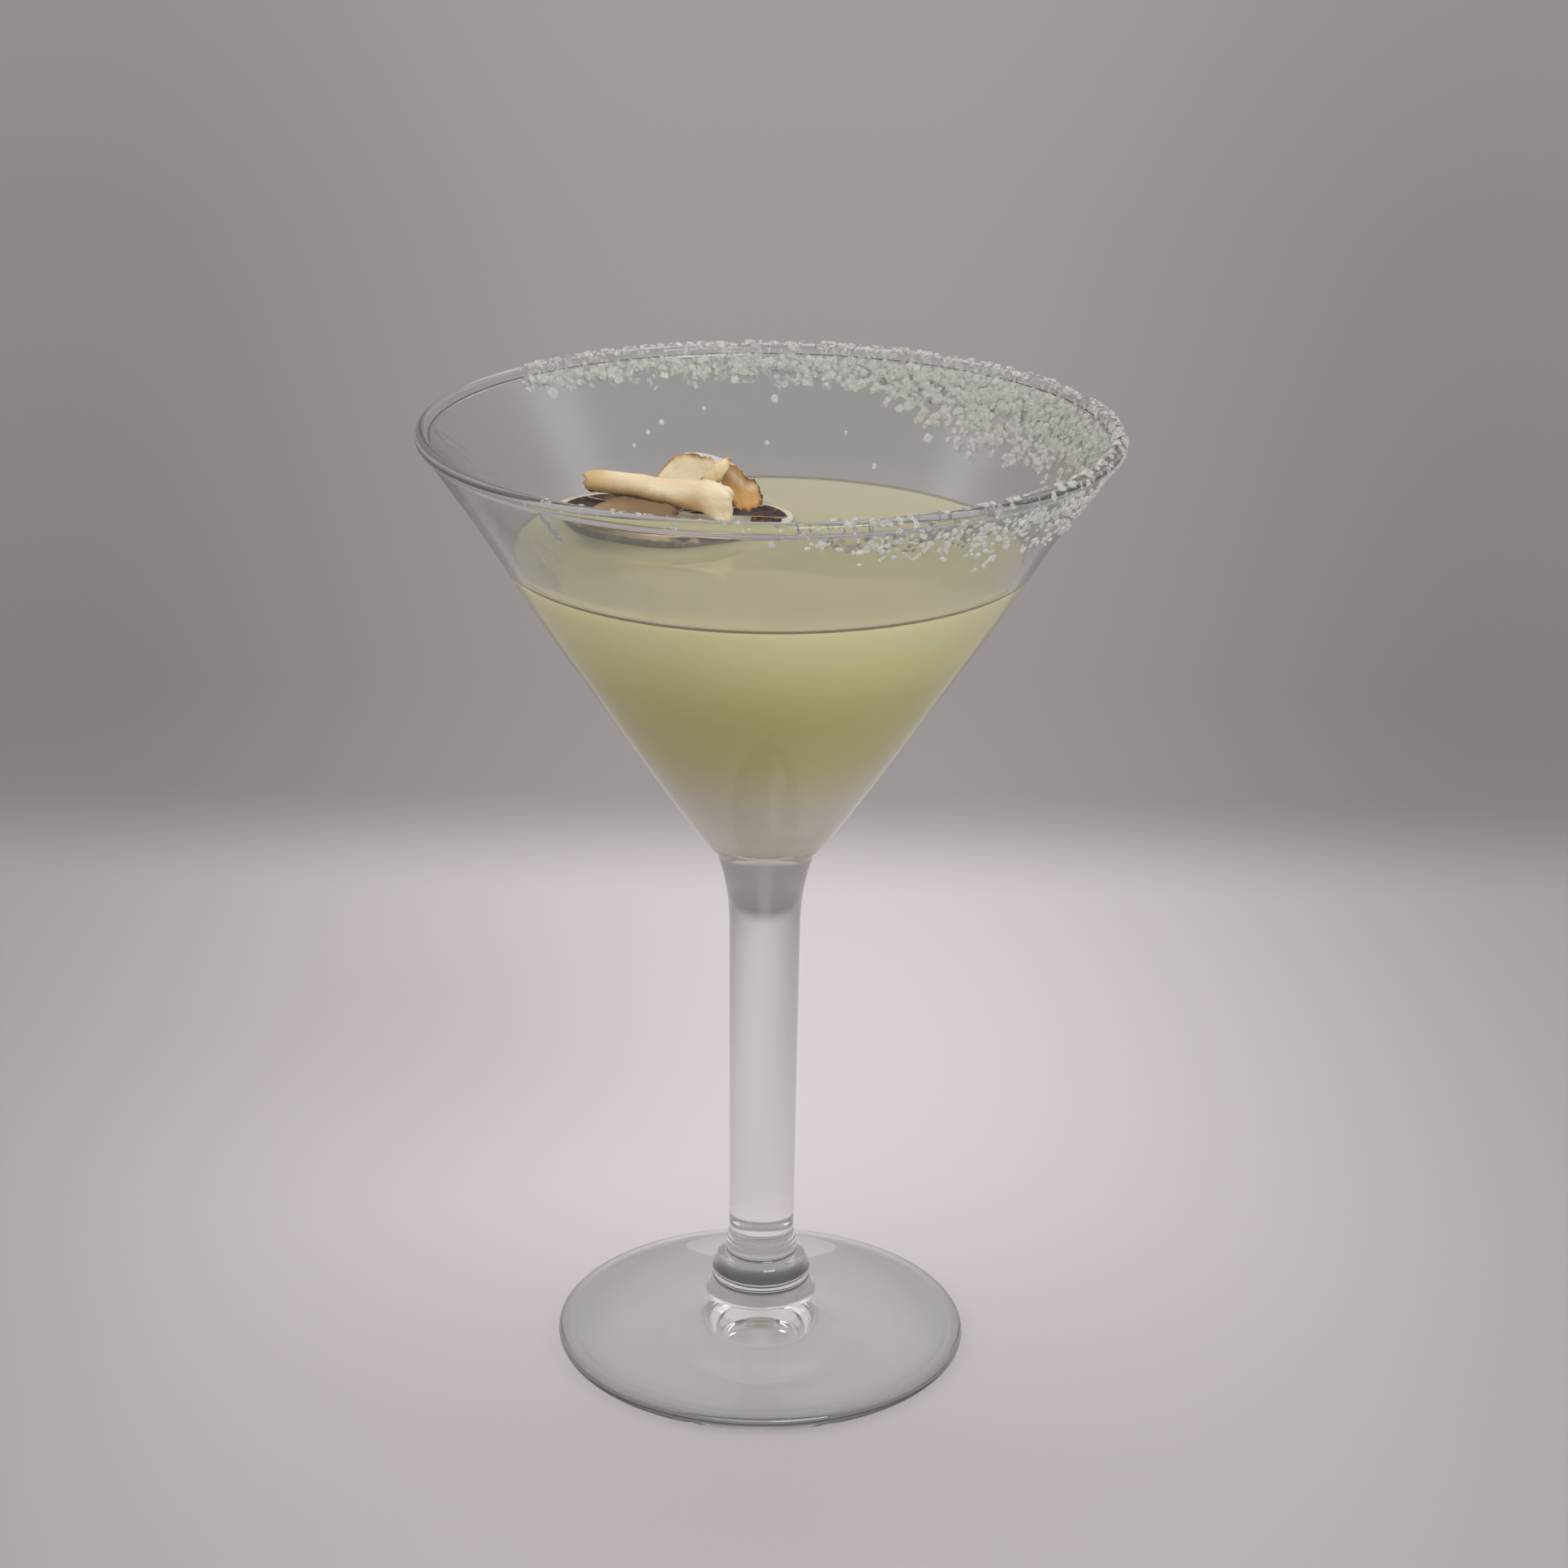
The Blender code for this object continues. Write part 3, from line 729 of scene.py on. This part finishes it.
# a station: the roll's axis (x, y, z) and radius in mm, and the sheet's two angles in degrees from +Y upwards
chipStations = {
    "curl": (
        (-30.7, 17.3, 149.3, 1.2, -80, 215), (-29.4, 17.1, 149.35, 1.62, -90, 228),
        (-23.6, 15.9, 149.1, 1.85, -40, 226), (-19.2, 14.8, 148.6, 2.0, -10, 224),
        (-13.3, 13.3, 148.1, 2.45, 30, 222), (-10.0, 12.5, 147.9, 2.9, 62, 216),
        (-7.6, 12.2, 147.75, 2.95, 100, 220), (-6.1, 12.1, 147.6, 2.6, 130, 200),
    ),
    "back": (
        (-19.6, 14.6, 152.4, 6.3, -62, -34), (-18.0, 14.6, 152.3, 6.7, -72, -10),
        (-15.4, 14.8, 152.0, 6.8, -74, 8), (-12.4, 15.0, 152.0, 6.8, -72, 10),
        (-9.8, 14.8, 151.9, 6.6, -62, 2), (-9.0, 14.6, 151.8, 6.4, -36, -8),
    ),
    "fold": (
        (-11.3, 16.9, 149.2, 0.9, 40, 215), (-9.8, 16.8, 150.1, 1.5, 20, 215),
        (-8.4, 16.9, 151.4, 1.6, 10, 215), (-6.9, 17.1, 152.5, 1.1, 30, 190),
    ),
    "right": (
        (-7.9, 14.2, 151.0, 5.9, -20, 8), (-6.4, 13.9, 150.8, 5.4, -60, 14),
        (-4.9, 13.6, 150.4, 4.9, -74, 10), (-3.7, 13.4, 150.1, 4.6, -78, -1),
        (-2.4, 13.4, 150.2, 4.6, -70, -6), (-1.4, 13.6, 150.2, 4.5, -60, -42),
    ),
    "under": (
        (-31.6, 3.0, 207.4, 60.0, -89.0, -91.7), (-29.0, 3.0, 207.3, 60.0, -84.9, -93.1),
        (-25.8, 3.0, 207.2, 60.0, -80.7, -93.8), (-22.0, 3.0, 207.05, 60.0, -81.0, -94.0),
        (-18.4, 3.0, 206.9, 60.0, -81.9, -93.2), (-15.2, 3.0, 206.8, 60.0, -83.3, -90.0),
    ),
}

cream, warmCream = (1.0, 0.86, 0.62), (0.76, 0.57, 0.31)
toasted, tanned = (0.66, 0.44, 0.18), (0.24, 0.125, 0.045)

# toast: where tan and brown start, from the middle (0) to the edges (1), and how uneven they are;
# fade: along u, its length, or v, across it, between two places, and to what;
# bare: what the right end keeps pale; under: how brown the lower front is
chipTones = {
    "coconutPale": {
        "pale": cream, "tan": toasted, "brown": tanned, "toast": (0.45, 0.86, 0.8),
        "fade": ("u", 0.4, 0.0, warmCream), "bare": 0.38, "under": 0.75,
    },
    "coconutBack": {
        "pale": (1.0, 0.90, 0.67), "tan": toasted, "brown": tanned, "toast": (0.8, 0.94, 0.45),
        "fade": ("v", 0.4, 0.0, warmCream),
    },
    "coconutFold": {
        "pale": (0.95, 0.80, 0.52), "tan": toasted, "brown": tanned, "toast": (0.7, 0.97, 0.4),
        "fade": ("v", 0.5, 0.1, toasted),
    },
    "coconutAmber": {
        "pale": (0.74, 0.46, 0.17), "tan": (0.52, 0.28, 0.10), "brown": (0.14, 0.06, 0.025),
        "toast": (0.5, 0.88, 0.6), "fade": ("v", 0.5, 0.86, cream),
    },
    "coconutBrown": {
        "pale": (0.39, 0.26, 0.15), "tan": (0.2, 0.125, 0.065), "brown": (0.1, 0.04, 0.02),
        "toast": (0.5, 0.9, 1.0), "fade": ("u", 0.1, 0.7, (0.23, 0.145, 0.08)),
    },
}


def stationAt(stations, along):
    spans = len(stations) - 1
    first = min(int(along * spans), spans - 1)
    four = [stations[min(max(first + k, 0), spans)] for k in (-1, 0, 1, 2)]
    return [catmullRom(*values, along * spans - first) for values in zip(*four)]


def chipSheet(stations, seed, waves, lip):
    look = chipLook
    peak, reach = look["lipAlong"]
    start, width = look["lipAcross"]
    bm = bmesh.new()
    bm.loops.layers.uv.new("along")
    bmesh.ops.create_grid(bm, x_segments=look["columns"], y_segments=look["rows"], size=0.5, calc_uvs=True)
    for vert in bm.verts:
        along, across = min(max(vert.co.x + 0.5, 0.0), 1.0), vert.co.y + 0.5
        x, y, z, radius, first, last = stationAt(stations, along)
        rim = max(abs(2 * along - 1), abs(2 * across - 1)) ** 6
        # small waves, and edges torn unevenly
        x += look["ragged"] * rim * noise.noise(Vector((9 * across, 9 * along, seed + 3)))
        tear = noise.noise(Vector((7 * along, 4 * across, seed + 8)))
        tear += 0.5 * noise.noise(Vector((19 * along, 4 * across, seed + 8)))
        tear *= look["ragged"] * rim / radius
        angle = math.radians(blend(first, last, across)) + tear
        radius += waves * noise.noise(Vector((7 * along, 4 * across, seed + 5)))
        radius += 0.3 * waves * noise.noise(Vector((23 * along, 9 * across, seed + 6)))
        radius += lip * max(0.0, 1 - abs(along - peak) / reach) * max(0.0, (across - start) / width) ** 2
        vert.co = Vector((x, y + radius * math.cos(angle), z + radius * math.sin(angle))) * mm
    return bm


def chipMaterial(name, pale, tan, brown, toast, fade, bare=0.0, under=0.0):
    material, shader = newMaterial(name, pale, 0.5, Subsurface_Weight=0.35)
    scatter(shader, (1.0, 0.7, 0.45), 0.0012)
    uv = addNode(material, "UVMap", uv_map="along").outputs[0]
    u, v = axisOf(material, uv, "X"), axisOf(material, uv, "Y")
    spot = objectSpot(material)
    uneven = minus(material, noiseOf(material, spot, 190, 3), 0.5)
    tanFrom, brownFrom, unevenness = toast
    # the chip's tone, with faint patches
    axis, low, high, faded = fade
    colour = mixOf(material, span(material, {"u": u, "v": v}[axis], low, high), pale, faded)
    patches = span(material, noiseOf(material, spot, 110, 2), 0.48, 0.68, 0.0, 0.34)
    colour = mixOf(material, patches, colour, tan)
    # the lower front is browned in patches
    lower = plus(material, v, times(material, uneven, 0.5))
    lower = times(material, span(material, lower, 0.68, 0.92, 0.0, under), span(material, u, 0.8, 0.62))
    colour = mixOf(material, lower, colour, tan)
    # the edges toast first
    fromEnd, fromSide = (math2(material, "ABSOLUTE", minus(material, way, 0.5)) for way in (u, v))
    worn = times(material, math2(material, "MAXIMUM", fromEnd, fromSide), 2.0)
    worn = plus(material, worn, times(material, uneven, unevenness))
    worn = minus(material, worn, span(material, u, 0.55, 0.8, 0.0, bare))
    colour = mixOf(material, span(material, worn, tanFrom, 1.0), colour, tan)
    colour = mixOf(material, span(material, worn, brownFrom, 1.04), colour, brown)
    # fine fibres along it
    fibres = noiseOf(material, mapped(material, uv, (3.0, 40.0, 1.0)), 2.2, 4, 0.6)
    colour = mixOf(material, span(material, fibres, 0.4, 0.75, 0.0, 0.28), colour, tan)
    link(material, colour, shader, "Base Color")
    bumpOf(material, shader, fibres, 0.4, 0.0004)
    return material


def makeChip(name, node, slotName, seed, tones, waves=0.2, lip=0.0):
    look = chipLook
    sheet = chipSheet(chipStations[node.removeprefix("coconut_")], seed, waves, lip)
    piece = makePiece(name, sheet, chipMaterial(tones, **chipTones[tones]))
    # the sheet thins towards its edges
    body = piece.vertex_groups.new(name="body")
    places = piece.data.uv_layers["along"].data
    for index, (u, v) in {loop.vertex_index: place.uv for loop, place in zip(piece.data.loops, places)}.items():
        body.add([index], 1 - max(abs(2 * u - 1), abs(2 * v - 1)) ** 8, "REPLACE")
    shell = piece.modifiers.new("thickness", "SOLIDIFY")
    shell.thickness = look["thickness"] * mm
    shell.offset = 0.0
    shell.vertex_group = body.name
    shell.thickness_vertex_group = look["thinEdge"]
    soft = piece.modifiers.new("softEdge", "SUBSURF")
    soft.levels = soft.render_levels = 1
    inPlace(piece, slotName, node)


makeChip("coconutCurl", "coconut_curl", "coconut_pale", 1, "coconutPale", 0.3, chipLook["lip"])
makeChip("coconutBackChip", "coconut_back", "coconut_pale", 5, "coconutBack", 0.22)
makeChip("coconutFold", "coconut_fold", "coconut_pale", 9, "coconutFold", 0.15)
makeChip("coconutRightChip", "coconut_right", "coconut_toasted", 14, "coconutAmber", 0.12)
makeChip("coconutUnderChip", "coconut_under", "coconut_toasted", 21, "coconutBrown")
print("coconut chips done")


# ---- sugar on the rim

sugarLook = {
    "seed": 7,
    "size": (0.6, 1.15),
    "stretch": (0.5, 1.5),
    "flat": (0.3, 0.65),
    "cutEdge": 0.12,
    "fine": ((-90, 0.7), (-20, 0.8), (20, 1.0)),  # share of the size, by azimuth in degrees
    # depth below the rim in mm, by azimuth
    "inside": (
        (-90, 2.0), (-84, 4.5), (-60, 6.0), (-30, 7.5), (0, 9.5), (12, 12.0), (24, 14.0), (48, 13.8),
        (56, 12.5), (62, 8.5), (76, 6.6), (92, 4.4), (112, 4.2), (121, 3.6), (131, 2.2), (140, 0.9),
    ),
    "outside": (
        (-90, 1.5), (-84, 3.5), (-76, 6.0), (-60, 8.5), (-44, 10.5), (-24, 11.5), (0, 11.0), (30, 8.5),
        (60, 5.5), (100, 4.5), (131, 3.5), (140, 1.5),
    ),
    "thin": ((-90, 0.12), (-80, 0.3), (-60, 0.45), (-30, 0.6), (0, 0.8), (40, 1.0), (140, 0.8)),
    "wallAzimuth": (-90, 140),
    "clumpEdge": 0.6,  # how far clumps reach past the depth, as a share of it
    "gaps": (-0.15, 0.4),  # clumps below this stay bare, near the rim and more at the depth
    "rimAzimuth": (-89, 139.5),
    "rimSize": 0.85,
    "strayAzimuth": (-130, -88),
    "straySize": (0.3, 0.55),
    "counts": {"inside": 2300, "outside": 1500, "rim": 900, "stray": 46},
    "tones": ((0.3, (0.86, 0.87, 0.81)), (0.7, (0.97, 0.97, 0.94))),
}


def pathSpot(path, depth, offset):
    # (radius, height) at a depth along a path, and at a distance to its left
    for here, there in zip(path, path[1:]):
        step = Vector(there) - Vector(here)
        if depth <= step.length:
            break
        depth -= step.length
    along = step.normalized()
    return Vector(here) + along * min(depth, step.length) + Vector((-along.y, along.x)) * offset


outsideWall = bowlOutside(4)[::-1]
insideWall = bowlInside(4)[::-1]
beadPath = beadOutline(30)


def leanTo(outward):
    # turns +Z to a direction in the (radius, height) plane
    return Matrix.Rotation(math.atan2(outward.x, outward.y), 4, "Y")


def placeAt(azimuth, spot):
    return Matrix.Rotation(math.radians(azimuth), 4, "Z") @ Matrix.Translation((spot.x * mm, 0, spot.y * mm))


def beadSpot(draw, first, last):
    # a random spot on the bead, and the direction away from its middle
    base = Vector(beadPath[draw.randrange(first, last)])
    return base, (base - Vector(glassLook["rim"])).normalized()


def crystal():
    # one sugar crystal with cut edges, about 1 across
    bm = bmesh.new()
    bmesh.ops.create_cube(bm, size=1.0)
    bmesh.ops.bevel(
        bm, geom=bm.edges[:], offset=sugarLook["cutEdge"], segments=1, profile=0.5, affect="EDGES", material=-1
    )
    bmesh.ops.triangulate(bm, faces=bm.faces)
    bm.verts.ensure_lookup_table()
    spots = np.array([vert.co for vert in bm.verts])
    faces = np.array([[vert.index for vert in face.verts] for face in bm.faces])
    bm.free()
    return spots, faces


def grainMatrix(draw, azimuth, spot, outward, size):
    stretch = Matrix.Diagonal((*(size * mm * draw.uniform(*sugarLook["stretch"]) for _ in range(3)), 1))
    tumble = Euler([draw.uniform(0, math.tau) for _ in range(3)]).to_matrix().to_4x4()
    # pressed flat against the glass
    lean = leanTo(outward)
    flat = lean @ Matrix.Diagonal((1, 1, draw.uniform(*sugarLook["flat"]), 1)) @ lean.inverted()
    return placeAt(azimuth, spot) @ flat @ tumble @ stretch


def grainsPiece(name, matrices, material):
    spots, faces = crystal()
    count = len(matrices)
    turns = np.array([np.array(matrix) for matrix in matrices])
    points = np.einsum("nij,kj->nki", turns[:, :3, :3], spots) + turns[:, None, :3, 3]
    polygons = (faces[None] + (np.arange(count) * len(spots))[:, None, None]).reshape(-1, 3)
    mesh = bpy.data.meshes.new(name)
    mesh.from_pydata(points.reshape(-1, 3).tolist(), [], polygons.tolist())
    mesh.materials.append(material)
    return addObject(name, mesh)


def wallGrains(draw, wall, part, side):
    # side is 1 on the outer wall, whose path runs down, and -1 on the inner wall
    look = sugarLook
    depths, count = look[part], look["counts"][part]
    bareBelow, bareMore = look["gaps"]
    made = []
    widest = max(value for _, value in depths)
    while len(made) < count:
        azimuth = draw.uniform(*look["wallAzimuth"])
        depth = draw.uniform(0, widest)
        limit = between(depths, azimuth)
        clump = noise.noise(Vector((azimuth * 0.42, depth * 0.5, 4 * side))) * 0.5
        clump += noise.noise(Vector((azimuth * 1.3, depth * 1.4, 9 * side))) * 0.35
        tooDeep = depth > limit * (1.0 + look["clumpEdge"] * clump)
        if tooDeep or clump < bareBelow + bareMore * (depth / limit) ** 2:
            continue
        if draw.random() > between(look["thin"], azimuth):
            continue
        size = draw.uniform(*look["size"]) * between(look["fine"], azimuth)
        lift = 0.24 * size + draw.uniform(-0.05, 0.12)
        spot = pathSpot(wall, depth, side * lift)
        nearby = pathSpot(wall, depth, side * (lift + 1))
        made.append(grainMatrix(draw, azimuth, spot, nearby - spot, size))
    return made


def rimGrains(draw):
    look = sugarLook
    made = []
    for _ in range(look["counts"]["rim"]):
        azimuth = draw.uniform(*look["rimAzimuth"])
        if draw.random() > between(look["thin"], azimuth) + 0.2:
            continue
        base, outward = beadSpot(draw, 1, len(beadPath) - 1)
        size = draw.uniform(*look["size"]) * look["rimSize"]
        spot = base + outward * (0.2 * size + draw.uniform(-0.1, 0.15))
        made.append(grainMatrix(draw, azimuth, spot, outward, size))
    return made


def strayGrains(draw):
    # a few on the clean left half, in the thin syrup along the front
    look = sugarLook
    made = []
    for _ in range(look["counts"]["stray"]):
        azimuth = draw.uniform(*look["strayAzimuth"])
        base, outward = beadSpot(draw, 6, len(beadPath) - 2)
        size = draw.uniform(*look["straySize"])
        made.append(grainMatrix(draw, azimuth, base + outward * 0.2 * size, outward, size))
    return made


def sugarMaterial(name, clear, bend):
    material, shader = newMaterial(name, (0.95, 0.95, 0.93), 0.2, Transmission_Weight=clear, IOR=bend)
    spot = objectSpot(material)
    tone = rampOf(material, noiseOf(material, spot, 900, 2), sugarLook["tones"])
    link(material, tone, shader, "Base Color")
    bumpOf(material, shader, noiseOf(material, spot, 2600, 2), 0.3, 0.0002)
    letLampsThrough(material, shader, 0.9, 0.85)
    return material


draw = random.Random(sugarLook["seed"])
sugarCrystal = sugarMaterial("sugarCrystal", 0.76, 1.33)
wetCrystal = sugarMaterial("wetCrystal", 0.6, 1.2)  # the syrup takes away the sparkle
insideGrains = wallGrains(draw, insideWall, "inside", -1)
outsideGrains = wallGrains(draw, outsideWall, "outside", 1)
inPlace(grainsPiece("sugarInside", insideGrains, sugarCrystal), "sugar", "sugar_crust")
inPlace(grainsPiece("sugarOutside", outsideGrains, wetCrystal), "sugar", "sugar_crust")
inPlace(grainsPiece("sugarRim", rimGrains(draw), sugarCrystal), "sugar", "sugar_crust")
inPlace(grainsPiece("sugarStray", strayGrains(draw), sugarCrystal), "sugar")
print("sugar done")


# ---- drops of syrup on the wall, and one that ran from the rim

wetLook = {
    # on the inner wall: azimuth in degrees, depth, width and height
    "drops": (
        (89.5, 8.0, 1.5, 1.7), (91.0, 16.0, 0.9, 1.0), (117.0, 13.0, 1.0, 1.0), (113.5, 11.5, 1.2, 1.1),
        (121.0, 15.0, 0.8, 0.9), (66.0, 19.0, 1.0, 1.1), (74.0, 13.5, 0.7, 0.8), (104.0, 9.5, 0.8, 0.8),
    ),
    # on the outer wall, as drops that grow together
    "drip": (
        (-127.6, 0.3, 1.1, 2.4), (-127.2, 1.9, 1.3, 2.8), (-126.7, 3.6, 1.6, 2.6), (-126.4, 4.7, 1.5, 1.6),
    ),
    "thickness": 0.24,  # as a share of the width
    "offWall": 0.08,
}


def syrupDrops(wall, drops, side):
    # each drop is a ball pressed flat on the wall
    look = wetLook
    bm = bmesh.new()
    for azimuth, depth, width, height in drops:
        spot = pathSpot(wall, depth, side * look["offWall"])
        outward = pathSpot(wall, depth, side * (look["offWall"] + 1)) - spot
        size = Matrix.Diagonal((height / 2 * mm, width / 2 * mm, width * look["thickness"] * mm, 1))
        place = placeAt(azimuth, spot) @ leanTo(outward) @ size
        bmesh.ops.create_icosphere(bm, subdivisions=3, radius=1.0, matrix=place)
    return bm


def syrupMaterial():
    material, shader = newMaterial("clearSyrup", (0.97, 0.98, 0.94), 0.06, Transmission_Weight=0.78, IOR=1.42)
    bumpOf(material, shader, noiseOf(material, objectSpot(material), 500, 2), 0.1, 0.0003)
    letLampsThrough(material, shader, 0.95, 0.8)
    return material


clearSyrup = syrupMaterial()
inPlace(makePiece("syrupDrops", syrupDrops(insideWall, wetLook["drops"], -1), clearSyrup), "sugar")
inPlace(makePiece("syrupDrip", syrupDrops(outsideWall, wetLook["drip"], 1), clearSyrup), "sugar")
print("drops done")


# ---- stage, lamps and camera

stageLook = {
    "floorColour": (0.79, 0.758, 0.76),
    "floorEdgeShade": (0.42, 0.404, 0.405),
    "paintedLightPool": (0.0, 0.2),  # painted pool of light: where the floor's tone starts and stops to fall
    "poolPlace": (0, -0.063, 0),
    "poolScale": (1, 0.45, 1),
    "floorRadius": 1.2,
    "floorDrop": 0.05,  # mm, so that it stays clear of the foot
    "backFade": (0.2, 0.275),
    "farFade": (0.7, 1.15),
    "wall": (0.25, 0.225, 0.225),
    "wallShares": (
        (0.3, 1.1), (0.34, 0.93), (0.4, 1.08), (0.45, 1.3), (0.6, 1.2), (0.68, 1.3), (0.78, 2.5), (1.0, 2.5),
    ),
    "glow": (0.45, 0.42, 0.42),
    "glowShare": 0.42,
    "glowWidth": (0.19, 0.03),
    "sidePanels": ((-0.81, 0.09, 0.58), (0.81, 0.09, 0.58)),
    "panelReach": (0.3, 0.02),
    "panelLight": 0.75,
    "frontWall": (0.86, 0.81, 0.81),
    "frontCeiling": (0.26, 0.24, 0.24),
}

# spot, aim, size, power in W, and whether it is mirrored
lamps = {
    "topSoftbox": ((0.0, 0.2, 0.75), (0, 0.12, 0), (0.5, 0.5), 1.65, False),
    "frontSoftbox": ((0.28, -0.56, 0.7), (0, 0, 0.1), (0.4, 0.25), 2.15, True),
}

cameraLook = {
    "lens": 84.3,
    "nearest": 0.01,
    "spot": (0.00293, -0.57306, 0.31514),
    "tilt": 69.646,
    "roll": 0.7485,
}


def makeFloor():
    look = stageLook
    bm = bmesh.new()
    bmesh.ops.create_circle(bm, cap_ends=True, segments=96, radius=look["floorRadius"])
    bm.transform(Matrix.Translation((0, 0, -look["floorDrop"] * mm)))
    material, shader = newMaterial("paleFloor", look["floorColour"], 0.65, Specular_IOR_Level=0.25)
    spot = objectSpot(material)
    # painted light: the floor is lighter in a pool round the glass and darker towards its edges
    out = lengthOf(material, mapped(material, spot, look["poolScale"], look["poolPlace"]))
    tone = mixOf(material, span(material, out, *look["paintedLightPool"]), look["floorColour"], look["floorEdgeShade"])
    link(material, tone, shader, "Base Color")
    # it fades into the wall
    back = span(material, axisOf(material, spot, "Y"), *look["backFade"])
    gone = math2(material, "MAXIMUM", back, span(material, lengthOf(material, spot), *look["farFade"]))
    showMixed(material, gone, shader, addNode(material, "BsdfTransparent"))
    return makePiece("floor", bm, material)


def makeWorld():
    # a grey wall, brighter overhead behind the glass, and bright with a dark ceiling in front
    look = stageLook
    world = bpy.data.worlds.new("room")
    world.use_nodes = True
    bpy.context.scene.world = world
    direction = addNode(world, "TexCoord").outputs["Generated"]
    up = axisOf(world, direction, "Z")
    height = addNode(world, "MapRange", {"Value": up, "From Min": -1.0, "From Max": 1.0}).outputs["Result"]
    stops = [(place, tuple(share * c for c in look["wall"])) for place, share in look["wallShares"]]
    grey = rampOf(world, height, stops)
    # a glow in the middle of the back wall
    aside = math2(world, "ABSOLUTE", axisOf(world, direction, "X"))
    glow = times(world, span(world, aside, *look["glowWidth"]), look["glowShare"])
    grey = mixOf(world, glow, grey, look["glow"])
    facing = mixOf(world, span(world, up, 0.75, 0.35), look["frontCeiling"], look["frontWall"])
    colour = mixOf(world, span(world, axisOf(world, direction, "Y"), 0.5, -0.5), grey, facing)
    for panel in look["sidePanels"]:
        apart = addNode(world, "VectorMath", {0: direction, 1: panel}, operation="DISTANCE").outputs["Value"]
        light = times(world, span(world, apart, *look["panelReach"]), look["panelLight"])
        lit = addNode(world, "CombineXYZ", {0: light, 1: light, 2: light}).outputs[0]
        colour = mixOf(world, 1.0, colour, lit, "ADD")
    link(world, colour, world.node_tree.nodes["Background"], "Color")


def makeLamp(name, spot, aim, size, power, mirrored):
    lamp = bpy.data.lights.new(name, "AREA")
    lamp.shape = "RECTANGLE"
    lamp.size, lamp.size_y = size
    lamp.energy = power
    holder = addObject(name, lamp)
    holder.location = spot
    holder.rotation_euler = (Vector(aim) - Vector(spot)).to_track_quat("-Z", "Y").to_euler()
    holder.visible_transmission = False  # glass already lets lamps through
    holder.visible_glossy = mirrored


def makeCamera():
    look = cameraLook
    camera = addObject("camera", bpy.data.cameras.new("camera"))
    camera.data.lens = look["lens"]
    camera.data.clip_start = look["nearest"]
    tilt = Matrix.Rotation(math.radians(look["tilt"]), 4, "X")
    roll = Matrix.Rotation(math.radians(look["roll"]), 4, "Z")
    camera.matrix_world = Matrix.Translation(look["spot"]) @ tilt @ roll
    bpy.context.scene.camera = camera


floor = makeFloor()
makeWorld()
for name, row in lamps.items():
    makeLamp(name, *row)
makeCamera()
bpy.context.scene.view_settings.view_transform = "Standard"
print("stage done")
